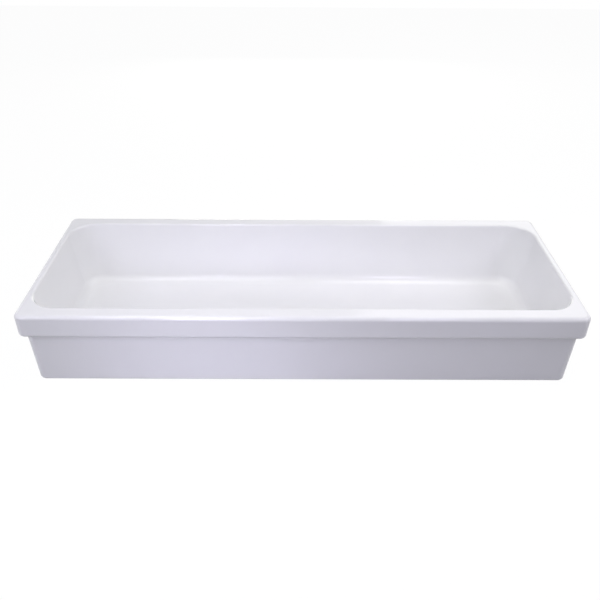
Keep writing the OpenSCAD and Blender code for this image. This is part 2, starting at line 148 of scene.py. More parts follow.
class BasinSizes(bpy.types.PropertyGroup):
    rim_length: length("Rim length", "Length of the rim", (BASIN_HIGH - BASIN_LOW).x / MM)
    rim_width: length("Rim width", "Width from front to back", (BASIN_HIGH - BASIN_LOW).y / MM)
    rim_height: length("Rim height", "Height of the rim's top above the foot", BASIN_HIGH.z / MM)
    rim_band: length("Band", "Depth of the rim's band", 55)
    rim_corner_r: length("Rim corner", "Corner radius of the rim seen from above", 18)
    rim_top_r: length("Rim's upper edge", "Radius of the rim's upper outer edge", 9)
    rim_low_r: length("Rim's lower edge", "Radius of the rim's lower edge", 9)
    rim_end_width: length("Rim at the ends", "Width of the rim at each end", 17)
    rim_side_width: length("Rim at the sides", "Width of the rim at the front and back", 36)
    apron_inset: length("Apron inset", "How far the apron stands back from the band", 11.5)
    apron_taper: length("Apron taper", "How far each side draws in towards the foot", 3.5)
    apron_corner_r: length("Apron corner", "Corner radius of the apron", 18)
    apron_cove_r: length("Cove", "Radius of the hollow between the apron and the band", 2)
    foot_edge_r: length("Foot edge", "Radius of the apron's lower edge", 6)
    apron_wall: length("Apron wall", "Thickness of the apron's wall", 14)
    bowl_corner_r: length("Bowl corner", "Corner radius of the bowl's mouth", 60)
    bowl_corner_shrink: amount(
        "Corner shrink", "Loss of corner radius for each millimetre that the walls draw in", 0.35
    )
    bowl_edge_r: length("Bowl edge", "Radius of the edge between the rim and the bowl", 5)
    bowl_draft: slope("Wall angle", "Angle of the bowl's walls from upright", 8.75)
    bowl_fillet_r: length("Bowl fillet", "Radius between the bowl's walls and its floor", 25)
    floor_z: length("Floor height", "Height of the floor beside the waste", 20)
    floor_fall: length("Floor fall", "Fall of the floor from its edge to the waste", 5)
    shell_wall: length("Shell wall", "Thickness of the floor and of the bowl's walls", 12)
    pad_r: length("Pad radius", "Radius of the level pad round the waste", 42)
    hollow_top_z: length("Hollow top", "Height of the hollow beside the bowl", 110)
    hollow_edge_r: length("Hollow edge", "Radius of the inner corners of the hollow", 3)
    web_t: length("Web", "Thickness of each cross web under the floor", 14)
    web_x: length("Web place", "Distance of each cross web from the middle", 270)
    boss_z: length("Boss face", "Height of the boss's face round the waste", 4)
    boss_r: length("Boss radius", "Radius of the boss round the waste", 40)
    waste_hole_r: length("Waste hole", "Radius of the hole for the waste", 23)
    seat_r: length("Seat radius", "Radius of the seat for the waste's flange", 33.5)
    seat_edge_r: length("Seat edge", "Radius of the glazed edge round the seat", 1.2)
    wobble: length("Wobble", "How far the hand-finished clay strays from true", 0.2)
    wobble_size: length("Wobble size", "Size of the swells in the clay", 170)
    bare_foot: length("Bare foot", "Height up to which the glaze is wiped off", 1)


class WasteSizes(bpy.types.PropertyGroup):
    flange_edge_t: length("Flange edge", "Thickness of the flange at its outer edge", 1.3)
    flange_crest: length("Crest", "Distance of the crest from the flange's outer edge", 3)
    dish_fall: length("Dish", "Fall of the dish from the crest to the bore's mouth", 0.8)
    mouth_w: length("Mouth width", "Width of the bore's bevelled mouth", 2)
    mouth_depth: length("Mouth depth", "Depth of the bore's bevelled mouth", 3)
    barrel_r: length("Barrel radius", "Radius of the barrel over its thread", 20.95)
    barrel_wall: length("Barrel wall", "Thickness of the barrel's wall", 3)
    thread_length: length("Thread length", "Length of thread on the barrel", 40)
    thread_pitch: length("Thread pitch", "Pitch of the barrel's thread", 2.309)
    thread_depth: length("Thread depth", "Depth of the barrel's thread", 1.2)
    spider_hub_r: length("Hub radius", "Radius of the spider's hub", 7)
    spider_h: length("Spider height", "Height of the spider across the barrel", 6)
    spider_arm_t: length("Spider arm", "Thickness of each arm of the spider", 2.5)
    spider_arms: how_many("Spider arms", "Number of arms from the hub to the barrel", 4)
    hub_bore_r: length("Hub bore", "Radius of the hub's tapped hole", 4.05)
    nut_bore_r: length("Nut bore", "Radius of the bore of what goes on the barrel", 21)
    hole_lip_r: length("Lip radius", "Radius of the cone washer's lip at the hole", 22.95)
    lip_top_r: length("Lip top", "Radius of the cone washer's lip at its top", 22)
    lock_nut_af: length("Lock nut", "Width of the lock nut across its flats", 52)


class TailSizes(bpy.types.PropertyGroup):
    tube_r: length("Tube radius", "Radius of the tail tube", 16)
    tube_wall: length("Tube wall", "Thickness of the tail tube's wall", 1.2)
    collar_t: length("Collar", "Thickness of the tail tube's collar", 2)
    seal_bore_r: length("Seal bore", "Radius of the hole in the tail's seal", 15.2)
    nut_af: length("Tail nut", "Width of the tail nut across its flats", 48)
    nut_lip: length("Nut lip", "Thickness of the tail nut's lower lip", 3)
    nut_hole_r: length("Nut hole", "Radius of the hole in the tail nut's lip", 17)


class CartridgeSizes(bpy.types.PropertyGroup):
    bore_r: length("Bore", "Radius of the housing's bore", 6.2)
    floor_t: length("Floor", "Thickness of the housing's floor", 2)
    flats: length("Flats", "Width of the housing across its two flats", 13.8)
    flats_h: length("Flats height", "Height of the two flats", 8)
    stud_r: length("Stud", "Radius of the threaded stud under the housing", 4)
    stud_out: length("Stud out", "How far the stud stands out under the spider", 1.5)
    stud_pitch: length("Stud pitch", "Pitch of the stud's and the plunger's thread", 1)
    stud_depth: length("Stud thread", "Depth of the stud's and the plunger's thread", 0.4)
    flutes: how_many("Flutes", "Number of grip flutes round the housing", 14)
    flute_r: length("Flute radius", "Radius of each grip flute", 0.6)
    flute_gap: length("Flute gap", "Distance of the flutes from the flats and from the top", 2)
    notches: how_many("Notches", "Number of notches round the cap's edge", 18)
    notch_r: length("Notch radius", "Radius of each notch in the cap's edge", 0.35)
    spigot_r: length("Spigot", "Radius of the cap inside the housing", 6.15)
    spigot_h: length("Spigot height", "Depth of the cap inside the housing", 4)
    cap_bore_r: length("Cap bore", "Radius of the hole for the stem", 4.06)
    stem_r: length("Stem", "Radius of the plunger's stem", 4)
    collar_r: length("Collar", "Radius of the plunger's collar", 5.9)
    collar_t: length("Collar height", "Thickness of the plunger's collar", 3)
    pin_r: length("Pin", "Radius of the pin that carries the rotor", 2)
    pin_length: length("Pin length", "Length of the pin under the collar", 8)
    top_r: length("Top thread", "Radius of the thread on top of the plunger", 3)
    rotor_r: length("Rotor", "Radius of the index rotor without its fins", 4.9)
    rotor_bore_r: length("Rotor bore", "Radius of the index rotor's bore", 2.06)
    fins: how_many("Fins", "Number of fins on the index rotor", 4)
    fin_t: length("Fin", "Thickness of each fin", 1.4)
    wire_r: length("Wire", "Radius of the return spring's wire", 0.45)
    spring_turns: how_many("Turns", "Number of turns in the return spring", 8)
    close_pitch: length("Close pitch", "Pitch of the spring's first and last turn", 1.2)


class PlugSizes(bpy.types.PropertyGroup):
    edge_t: length("Cap edge", "Thickness of the cap at its edge", 1.4)
    roll_r: length("Cap roll", "Radius of the cap's rolled edge", 0.6)
    carrier_hub_r: length("Hub", "Radius of the carrier's hub", 6.5)
    carrier_t: length("Carrier", "Thickness of the carrier's disc", 3.2)
    socket_r: length("Socket", "Radius of the hole for the plunger's thread", 3.05)
    pockets: how_many("Pockets", "Number of moulded pockets under the carrier", 8)
    pocket_depth: length("Pocket depth", "Depth of each moulded pocket", 1.4)
    rib_t: length("Rib", "Thickness of the rib between two pockets", 1.2)
    nut_af: length("Height nut", "Width of the height nut across its flats", 10)


class Finishes(bpy.types.PropertyGroup):
    glaze: tint("Glaze", "Colour of the fired glaze", "#F6F6F6")
    glaze_shade: tint("Glaze shade", "Colour of the glaze where it lies thicker", "#F2F2F3")
    clay: tint("Bare clay", "Colour of the unglazed fireclay", "#DCD2BF")
    grog: tint("Grog", "Colour of the coarse grains in the clay", "#A8977C")
    chrome: tint("Chrome", "Colour of the chrome plate", "#D3D5D8")
    brass: tint("Brass", "Colour of the bare brass", "#C9A65A")
    brass_dull: tint("Dull brass", "Colour of brass where it has tarnished", "#A8823F")
    steel: tint("Steel", "Colour of the stainless steel", "#BDBEC0")
    rubber: tint("Rubber", "Colour of the black rubber", "#202022")
    rubber_bloom: tint("Rubber bloom", "Colour of the pale bloom on rubber", "#3C3C3E")
    silicone: tint("Silicone", "Colour of the milky silicone", "#E4E6E3")
    white_plastic: tint("White acetal", "Colour of the white mouldings", "#ECEBE6")
    grey_plastic: tint("Grey acetal", "Colour of the grey mouldings", "#6E7176")


class StageSettings(bpy.types.PropertyGroup):
    floor_r: length("Floor radius", "Distance of the floor's corners from the middle", 12000)
    cutout_x: length("Cut-out length", "Half length of the floor's cut-out", 545)
    cutout_y: length("Cut-out width", "Half width of the floor's cut-out", 199)
    floor_gap: length("Floor gap", "Gap under the foot, so that no two faces share a plane", 0.2)
    floor_colour: tint("Floor", "Colour of the floor", "#A6A6A6")
    floor_glow: amount("Floor glow", "Share of the floor's look that white stands in for", 0.85)
    floor_white: amount(
        "Floor white", "Strength of that white, so that only a shadow shows on the floor", 1.13
    )
    room: tint("Room", "Colour of the light from the room", "#EEEEFF")
    room_level: amount("Room level", "Strength of the light from the room", 0.2)
    lens: amount("Lens", "Focal length on a 36 mm wide sensor, in mm", 39.8)
    camera_x: length("Camera across", "Distance of the camera to the left of the waste", 14)
    camera_y: length("Camera distance", "Distance of the camera in front of the waste", 1334.7)
    camera_z: length("Camera height", "Height of the camera above the foot", 971.5)
    pitch: slope("Pitch", "How far the camera looks down", 33.916)
    yaw: slope("Yaw", "How far the camera looks right", 0.364)
    roll: slope("Roll", "How far the camera leans", 0.454)


class TroughSink(bpy.types.PropertyGroup):
    basin: bpy.props.PointerProperty(type=BasinSizes)
    waste: bpy.props.PointerProperty(type=WasteSizes)
    tail: bpy.props.PointerProperty(type=TailSizes)
    cartridge: bpy.props.PointerProperty(type=CartridgeSizes)
    plug: bpy.props.PointerProperty(type=PlugSizes)
    finishes: bpy.props.PointerProperty(type=Finishes)
    stage: bpy.props.PointerProperty(type=StageSettings)


# ---- Nodes ----


def add(tree, kind, *values, into=None, **settings):
    """Adds a node. Its inputs take the values in order. A setting that begins with a capital is
    for the input of that name, and any other for the node. The output is linked into a socket."""
    node = tree.nodes.new(kind)
    for key, value in settings.items():
        if key[0].islower():
            setattr(node, key, value)
    pairs = list(zip([socket for socket in node.inputs if socket.enabled], values))
    for key, value in settings.items():
        if key[0].isupper():
            pairs.append((node.inputs[key.replace("_", " ")], value))
    for socket, value in pairs:
        if isinstance(value, bpy.types.Node):
            value = next(output for output in value.outputs if output.enabled)
        if isinstance(value, bpy.types.NodeSocket):
            tree.links.new(value, socket)
        else:
            socket.default_value = value
    if into:
        tree.links.new(next(output for output in node.outputs if output.enabled), into)
    return node


def geometry_tree(name, **inputs):
    """A Geometry Nodes tree with named inputs of each kind, and one for its material. Returns it
    and its inputs by name."""
    tree = bpy.data.node_groups.new(name, "GeometryNodeTree")
    for kind, labels in {**inputs, "Material": ["Material"]}.items():
        for label in labels:
            tree.interface.new_socket(label, in_out="INPUT", socket_type="NodeSocket" + kind)
    tree.interface.new_socket("Geometry", in_out="OUTPUT", socket_type="NodeSocketGeometry")
    return tree, tree.nodes.new("NodeGroupInput").outputs


def end_tree(tree, geometry, material):
    """Ends a tree as the export needs it: instances made real, and the material set."""
    real = add(tree, "GeometryNodeRealizeInstances", geometry)
    dressed = add(tree, "GeometryNodeSetMaterial", real, Material=material)
    add(tree, "NodeGroupOutput", dressed)
    return tree


def numbered_grid(tree, columns, rows):
    """A grid mesh of quads, with each point's column and row as numbers from 0."""
    sides = [add(tree, "ShaderNodeMath", n, 1, operation="SUBTRACT") for n in (columns, rows)]
    grid = add(tree, "GeometryNodeMeshGrid", *sides, columns, rows)
    place = add(tree, "GeometryNodeInputPosition")
    parts = add(tree, "ShaderNodeSeparateXYZ", place)
    numbers = []
    for part, side in zip(parts.outputs, sides):
        shifted = add(tree, "ShaderNodeMath", side, 0.5, part, operation="MULTIPLY_ADD")
        numbers.append(add(tree, "ShaderNodeMath", shifted, operation="ROUND"))
    return grid, *numbers


def held_numbers(tree, geometry, row, *names):
    """What the point of a row holds: its place, and its numbers of these names."""
    spot = add(tree, "GeometryNodeInputPosition")
    held = [add(tree, "GeometryNodeSampleIndex", geometry, spot, row, data_type="FLOAT_VECTOR")]
    for name in names:
        number = add(tree, "GeometryNodeInputNamedAttribute", name, data_type="FLOAT")
        held.append(add(tree, "GeometryNodeSampleIndex", geometry, number, row, data_type="FLOAT"))
    return held


def trough_tree():
    """A skin through level rings: rounded rectangles that turn into circles at the waste."""
    tree, given = geometry_tree(
        "trough_tree",
        Object=["Levels"],
        Int=["Corner Steps", "Side Steps"],
        Float=["Wobble", "Wobble Size", "Wobble Seed", "Level Foot"],
    )
    corner_steps, side_steps = given["Corner Steps"], given["Side Steps"]
    levels = add(tree, "GeometryNodeObjectInfo", given["Levels"]).outputs["Geometry"]
    count = add(tree, "GeometryNodeAttributeDomainSize", levels).outputs["Point Count"]
    quarter = add(tree, "ShaderNodeMath", corner_steps, side_steps, operation="ADD")
    around = add(tree, "ShaderNodeMath", quarter, 4, operation="MULTIPLY")
    columns = add(tree, "ShaderNodeMath", around, 1, operation="ADD")
    grid, column, row = numbered_grid(tree, columns, count)

    # Which corner the column belongs to, how far it is round it, and how far along the side
    share = add(tree, "ShaderNodeMath", column, quarter, operation="DIVIDE")
    corner = add(tree, "ShaderNodeMath", share, operation="FLOOR")
    rest = add(tree, "ShaderNodeMath", column, quarter, operation="MODULO")
    turned = add(tree, "ShaderNodeMath", rest, corner_steps, operation="MINIMUM")
    turn = add(tree, "ShaderNodeMath", turned, corner_steps, operation="DIVIDE")
    passed = add(tree, "ShaderNodeMath", rest, turned, operation="SUBTRACT")
    along = add(tree, "ShaderNodeMath", passed, side_steps, operation="DIVIDE")
    quarters = add(tree, "ShaderNodeMath", corner, turn, operation="ADD")
    facing = add(tree, "ShaderNodeMath", quarters, pi / 2, operation="MULTIPLY")
    outward = add(tree, "ShaderNodeVectorRotate", (1, 0, 0), Angle=facing)
    corner_angle = add(tree, "ShaderNodeMath", corner, pi / 2, operation="MULTIPLY")
    first = add(tree, "ShaderNodeVectorRotate", (1, 1, 0), Angle=corner_angle)
    second = add(tree, "ShaderNodeVectorRotate", first, Angle=pi / 2)
    towards = add(tree, "ShaderNodeMix", along, first, second, data_type="VECTOR")

    # The rounded rectangle
    halves, corner_r, round_r, roundness = held_numbers(tree, levels, row, *LEVEL_NUMBERS)
    straight = add(tree, "ShaderNodeVectorMath", halves, corner_r, operation="SUBTRACT")
    centre = add(tree, "ShaderNodeVectorMath", towards, straight, operation="MULTIPLY")
    reach = add(tree, "ShaderNodeVectorMath", outward, Scale=corner_r, operation="SCALE")
    squared = add(tree, "ShaderNodeVectorMath", centre, reach, operation="ADD")

    # The circle that it turns into near the waste, with its columns evenly spread
    middle = add(tree, "ShaderNodeMath", corner_steps, 0.5, operation="MULTIPLY")
    from_middle = add(tree, "ShaderNodeMath", column, middle, operation="SUBTRACT")
    part = add(tree, "ShaderNodeMath", from_middle, around, operation="DIVIDE")
    swept = add(tree, "ShaderNodeMath", part, 2 * pi, pi / 4, operation="MULTIPLY_ADD")
    spoke = add(tree, "ShaderNodeVectorRotate", (1, 0, 0), Angle=swept)
    ring = add(tree, "ShaderNodeVectorMath", spoke, Scale=round_r, operation="SCALE")
    plan = add(tree, "ShaderNodeMix", roundness, squared, ring, data_type="VECTOR")
    height = add(tree, "ShaderNodeSeparateXYZ", halves).outputs["Z"]
    lift = add(tree, "ShaderNodeCombineXYZ", 0, 0, height)
    place = add(tree, "ShaderNodeVectorMath", plan, lift, operation="ADD")
    formed = add(tree, "GeometryNodeSetPosition", grid, True, place)
    closed = add(tree, "GeometryNodeMergeByDistance", formed, True, JOIN)
    outwards = add(tree, "GeometryNodeFlipFaces", closed)

    # The swells of hand-finished clay, which only ever lie inside the true shape
    point = add(tree, "GeometryNodeInputPosition")
    scale = add(tree, "ShaderNodeMath", 1, given["Wobble Size"], operation="DIVIDE")
    waves = point, given["Wobble Seed"], scale, 1
    noise = add(tree, "ShaderNodeTexNoise", *waves, noise_dimensions="4D")
    above = add(tree, "ShaderNodeSeparateXYZ", point).outputs["Z"]
    fade = above, 0, given["Level Foot"], 0, 1
    shown = add(tree, "ShaderNodeMapRange", *fade, interpolation_type="SMOOTHSTEP")
    faded = add(tree, "ShaderNodeMath", noise, shown, operation="MULTIPLY")
    depth = add(tree, "ShaderNodeMath", faded, given["Wobble"], operation="MULTIPLY")
    inwards = add(tree, "ShaderNodeMath", depth, -1, operation="MULTIPLY")
    normal = add(tree, "GeometryNodeInputNormal")
    offset = add(tree, "ShaderNodeVectorMath", normal, Scale=inwards, operation="SCALE")
    swollen = add(tree, "GeometryNodeSetPosition", outwards, Offset=offset)
    return end_tree(tree, swollen, given["Material"])


def turned_tree():
    """An outline of radius and height turned round the axis, with a helical thread cut in
    the stretch whose points hold a groove depth of 0 or more."""
    tree, given = geometry_tree(
        "turned_tree",
        Object=["Outline"],
        Int=["Steps"],
        Float=["Pitch", "Thread Bottom", "Thread Top"],
    )
    pitch, bottom, top = given["Pitch"], given["Thread Bottom"], given["Thread Top"]
    outline = add(tree, "GeometryNodeObjectInfo", given["Outline"]).outputs["Geometry"]
    count = add(tree, "GeometryNodeAttributeDomainSize", outline).outputs["Point Count"]
    columns = add(tree, "ShaderNodeMath", given["Steps"], 1, operation="ADD")
    grid, column, row = numbered_grid(tree, columns, count)
    turn = add(tree, "ShaderNodeMath", column, given["Steps"], operation="DIVIDE")
    angle = add(tree, "ShaderNodeMath", turn, 2 * pi, operation="MULTIPLY")
    spot, groove = held_numbers(tree, outline, row, "groove")
    point = add(tree, "ShaderNodeSeparateXYZ", spot).outputs
    threaded = add(tree, "ShaderNodeMath", groove, NO_GROOVE / 2, operation="GREATER_THAN")

    # A threaded point climbs by the pitch in a turn, and stops at the thread's two ends
    climb = add(tree, "ShaderNodeMath", turn, pitch, operation="MULTIPLY")
    raised = add(tree, "ShaderNodeMath", climb, point["Z"], operation="ADD")
    held = add(tree, "ShaderNodeClamp", raised, bottom, top)
    height = add(tree, "ShaderNodeMix", threaded, point["Z"], held)
    from_bottom = add(tree, "ShaderNodeMath", raised, bottom, operation="SUBTRACT")
    from_top = add(tree, "ShaderNodeMath", top, raised, operation="SUBTRACT")
    nearest = add(tree, "ShaderNodeMath", from_bottom, from_top, operation="MINIMUM")
    run_out = add(tree, "ShaderNodeMath", nearest, pitch, operation="DIVIDE", use_clamp=True)
    cut = add(tree, "ShaderNodeMath", groove, run_out, operation="MULTIPLY")
    depth = add(tree, "ShaderNodeMath", cut, threaded, operation="MULTIPLY")
    radius = add(tree, "ShaderNodeMath", point["X"], depth, operation="SUBTRACT")
    flat = add(tree, "ShaderNodeCombineXYZ", radius, 0, height)
    place = add(tree, "ShaderNodeVectorRotate", flat, Angle=angle)
    formed = add(tree, "GeometryNodeSetPosition", grid, True, place)
    closed = add(tree, "GeometryNodeMergeByDistance", formed, True, JOIN)
    return end_tree(tree, closed, given["Material"])


def copies_tree():
    """Copies of a piece, evenly spread round the axis."""
    tree, given = geometry_tree("copies_tree", Object=["Piece"], Int=["Count"])
    piece = add(tree, "GeometryNodeObjectInfo", given["Piece"]).outputs["Geometry"]
    points = add(tree, "GeometryNodeMeshLine", given["Count"], Offset=(0, 0, 0))
    index = add(tree, "GeometryNodeInputIndex")
    share = add(tree, "ShaderNodeMath", index, given["Count"], operation="DIVIDE")
    angle = add(tree, "ShaderNodeMath", share, 2 * pi, operation="MULTIPLY")
    turn = add(tree, "ShaderNodeCombineXYZ", 0, 0, angle)
    placed = add(tree, "GeometryNodeInstanceOnPoints", points, Instance=piece, Rotation=turn)
    return end_tree(tree, placed, given["Material"])


def spring_tree():
    """A wire wound round the axis, whose first and last turn lie close."""
    tree, given = geometry_tree(
        "spring_tree",
        Int=["Turns", "Steps", "Wire Sides"],
        Float=["Coil Radius", "Wire Radius", "Bottom", "Top", "Close Pitch"],
    )
    turns, wire, close = given["Turns"], given["Wire Radius"], given["Close Pitch"]
    steps = add(tree, "ShaderNodeMath", turns, given["Steps"], operation="MULTIPLY")
    count = add(tree, "ShaderNodeMath", steps, 1, operation="ADD")
    line = add(tree, "GeometryNodeMeshLine", count, Offset=(0, 0, MM))
    index = add(tree, "GeometryNodeInputIndex")
    turn = add(tree, "ShaderNodeMath", index, given["Steps"], operation="DIVIDE")
    angle = add(tree, "ShaderNodeMath", turn, 2 * pi, operation="MULTIPLY")

    # Height: a close turn, the open turns that share the rest evenly, and a close turn
    low = add(tree, "ShaderNodeMath", given["Bottom"], wire, operation="ADD")
    high = add(tree, "ShaderNodeMath", given["Top"], wire, operation="SUBTRACT")
    open_low = add(tree, "ShaderNodeMath", low, close, operation="ADD")
    open_high = add(tree, "ShaderNodeMath", high, close, operation="SUBTRACT")
    last_turn = add(tree, "ShaderNodeMath", turns, 1, operation="SUBTRACT")
    opened = add(tree, "ShaderNodeMapRange", turn, 1, last_turn, open_low, open_high)
    first = add(tree, "ShaderNodeMapRange", turn, 0, 1, low, open_low)
    last = add(tree, "ShaderNodeMapRange", turn, last_turn, turns, open_high, high)
    below = add(tree, "ShaderNodeMath", first, opened, operation="ADD")
    total = add(tree, "ShaderNodeMath", below, last, operation="ADD")
    ends = add(tree, "ShaderNodeMath", open_low, open_high, operation="ADD")
    height = add(tree, "ShaderNodeMath", total, ends, operation="SUBTRACT")
    flat = add(tree, "ShaderNodeCombineXYZ", given["Coil Radius"], 0, height)
    place = add(tree, "ShaderNodeVectorRotate", flat, Angle=angle)
    wound = add(tree, "GeometryNodeSetPosition", line, True, place)
    path = add(tree, "GeometryNodeMeshToCurve", wound)
    section = add(tree, "GeometryNodeCurvePrimitiveCircle", given["Wire Sides"], Radius=wire)
    solid = add(tree, "GeometryNodeCurveToMesh", path, section.outputs["Curve"], Fill_Caps=True)
    return end_tree(tree, solid, given["Material"])


# ---- Meshes ----


def new_object(name, data):
    made = bpy.data.objects.new(name, data)
    bpy.context.scene.collection.objects.link(made)
    return made


def dropped(*helpers):
    """Removes objects that only helped to make a piece."""
    for helper in helpers:
        mesh = helper.data
        bpy.data.objects.remove(helper)
        bpy.data.meshes.remove(mesh)


def settled(piece, kind=None, **settings):
    """Makes the result of the piece's modifiers its mesh, after adding one if a kind is given."""
    if kind:
        modifier = piece.modifiers.new(kind.title(), kind)
        for key, value in settings.items():
            setattr(modifier, key, value)
    evaluated = piece.evaluated_get(bpy.context.evaluated_depsgraph_get())
    mesh = bpy.data.meshes.new_from_object(evaluated)
    piece.modifiers.clear()
    old, piece.data = piece.data, mesh
    bpy.data.meshes.remove(old)
    mesh.name = piece.name
    return piece


def dressed(piece, *materials, index=0):
    """Gives the piece its materials, and all of its faces one of them."""
    piece.data.materials.clear()
    for material in materials:
        piece.data.materials.append(material)
    piece.data.polygons.foreach_set("material_index", [index] * len(piece.data.polygons))
    return piece


def grown(name, make_tree, **values):
    """Runs a tree on an empty mesh and keeps the result as a plain mesh. The tree is made when it
    is first asked for, and the names of its inputs are written with underscores here."""
    tree = bpy.data.node_groups.get(make_tree.__name__) or make_tree()
    piece = new_object(name, bpy.data.meshes.new(name))
    modifier = piece.modifiers.new(tree.name, "NODES")
    modifier.node_group = tree
    for item in tree.interface.items_tree:
        if item.in_out == "INPUT":
            modifier[item.identifier] = values[item.name.lower().replace(" ", "_")]
    return dressed(settled(piece), values["material"])


def faced(piece):
    """Turns the faces of a closed mesh outwards, and shades it smooth but for its edges."""
    mesh = bmesh.new()
    mesh.from_mesh(piece.data)
    bmesh.ops.recalc_face_normals(mesh, faces=mesh.faces)
    mesh.to_mesh(piece.data)
    mesh.free()
    piece.data.shade_smooth()
    piece.data.set_sharp_from_angle(angle=SHARP)
    return piece


def carved(piece, operation, *tools):
    """Unites, cuts or intersects a closed piece with others, which are then dropped."""
    for tool in tools:
        settled(piece, "BOOLEAN", operation=operation, object=tool, solver="MANIFOLD")
    dropped(*tools)
    return piece


def bevelled(piece, width, segments=2):
    """Breaks the sharp edges of a piece."""
    form = {"width": width, "segments": segments}
    return settled(piece, "BEVEL", **form, limit_method="ANGLE", angle_limit=SHARP)


def polished(piece):
    """Evens the shading of a piece, so that its flat faces look flat."""
    return settled(faced(piece), "WEIGHTED_NORMAL", keep_sharp=True)


def prism(name, points, low, high, material, turn=Matrix.Identity(4)):
    """A straight solid over an outline of two coordinates, from low to high along the third."""
    mesh = bmesh.new()
    base = mesh.faces.new([mesh.verts.new((x, y, low)) for x, y in points])
    swept = bmesh.ops.extrude_face_region(mesh, geom=[base])["geom"]
    moved = [part for part in swept if isinstance(part, bmesh.types.BMVert)]
    bmesh.ops.translate(mesh, verts=moved, vec=(0, 0, high - low))
    bmesh.ops.transform(mesh, verts=mesh.verts, matrix=turn)
    bmesh.ops.recalc_face_normals(mesh, faces=mesh.faces)
    data = bpy.data.meshes.new(name)
    mesh.to_mesh(data)
    mesh.free()
    data.materials.append(material)
    return new_object(name, data)


def polygon(radius, sides, centre_x=0):
    """A regular outline with a corner on the X axis."""
    angles = [2 * pi * i / sides for i in range(sides)]
    return [(radius * cos(a) + centre_x, radius * sin(a)) for a in angles]


def arc(centre, radius, start, end, steps):
    """Points of an arc, with its angles in radians."""
    angles = [start + (end - start) * i / steps for i in range(steps + 1)]
    return [(centre[0] + radius * cos(a), centre[1] + radius * sin(a)) for a in angles]


def outline(*corners, steps=6):
    """A closed outline from corners (radius, height) or (radius, height, rounding)."""
    points = []
    for i, (r, z, *rounding) in enumerate(corners):
        if not rounding:
            points.append((r, z))
            continue
        here = Vector((r, z))
        back = (Vector(corners[i - 1][:2]) - here).normalized()
        on = (Vector(corners[(i + 1) % len(corners)][:2]) - here).normalized()
        half = back.angle(on) / 2
        centre = here + (back + on).normalized() * rounding[0] / sin(half)
        start = here + back * rounding[0] / tan(half) - centre
        end = here + on * rounding[0] / tan(half) - centre
        angle = atan2(start.y, start.x)
        sweep = (atan2(end.y, end.x) - angle + pi) % (2 * pi) - pi
        points += arc(centre, rounding[0], angle, angle + sweep, steps)
    return points


def thread(radius, bottom, top, pitch, depth):
    """Points of a thread's stretch (radius, height, groove depth), from one turn below."""
    # Where the groove begins, reaches its depth, leaves it and ends, in shares of the pitch
    form = (0.15, 0), (0.44, depth), (0.56, depth), (0.85, 0)
    turns = ceil((top - bottom) / pitch) + 2
    return [
        (radius, bottom + (i - 1 + share) * pitch, groove)
        for i in range(turns)
        for share, groove in form
    ]


def turned(name, points, material, steps=MIDDLING, pitch=MM, ends=(0, 0)):
    """A turned piece from its outline, closed unless it begins and ends on the axis."""
    if points[0][0] or points[-1][0]:
        points = points + points[:1]
    mesh = bpy.data.meshes.new(name)
    mesh.from_pydata([(p[0], 0, p[1]) for p in points], [], [])
    grooves = mesh.attributes.new("groove", "FLOAT", "POINT")
    grooves.data.foreach_set("value", [p[2] if len(p) > 2 else NO_GROOVE for p in points])
    helper = new_object(name + "_outline", mesh)
    piece = grown(
        name,
        turned_tree,
        outline=helper,
        steps=steps,
        pitch=pitch,
        thread_bottom=ends[0],
        thread_top=ends[1],
        material=material,
    )
    dropped(helper)
    return faced(piece)


def ring(name, bore, radius, low, high, edge, material):
    """A plain ring whose four edges are alike."""
    corners = (bore, low), (radius, low), (radius, high), (bore, high)
    return turned(name, outline(*((r, z, edge) for r, z in corners)), material)


def round_the_axis(piece, count, material):
    """Copies of a piece round the axis, as one mesh in its place."""
    copies = grown(piece.name + "_set", copies_tree, piece=piece, count=count, material=material)
    dropped(piece)
    return copies


def hex_nut(name, width, low, high, bore, edge, material):
    """A nut turned from its bore's outline and chamfers that run off its corners, then cut to
    six flats and broken at its edges."""
    corner = width / sqrt(3)
    drop = (corner - width / 2) / 2
    inset = 0.3 * MM
    flat = width / 2 - inset
    outer = (flat, low), (corner, low + drop), (corner, high - drop), (flat, high)
    nut = turned(name, outline(*bore, *outer), material)
    flats = prism(name + "_flats", polygon(corner, 6), low - PAST, high + PAST, material)
    return polished(bevelled(carved(nut, "INTERSECT", flats), edge))


def chamfered_bore(radius, low, high, chamfer):
    """The corners of a bore that opens at both ends, from the top down."""
    wide = radius + chamfer
    return (wide, high), (radius, high - chamfer), (radius, low + chamfer), (wide, low)


def mounted(piece, body, slot, *nodes):
    """Hands a finished piece over: its body and the nodes it stands for. The slot, its finish, is
    not used.
    """
    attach(piece, body)
    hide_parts(*nodes)
    return piece


# ---- Finishes ----


def finish(name):
    """The material of a name, made when it is first asked for."""
    colours = bpy.context.scene.trough_sink.finishes
    return bpy.data.materials.get(name) or FINISHES[name](name, colours)


def surface(name, **settings):
    """A new material with these settings, their names written with underscores. Returns it with
    its tree, its shader's inputs and the object's coordinates."""
    material = bpy.data.materials.new(name)
    material.use_nodes = True
    tree = material.node_tree
    shader = tree.nodes["Principled BSDF"].inputs
    for key, value in settings.items():
        shader[key.replace("_", " ")].default_value = value
    return material, tree, shader, add(tree, "ShaderNodeTexCoord").outputs["Object"]


def per(millimetres):
    """The scale of a pattern whose features are this wide."""
    return 1 / (millimetres * MM)


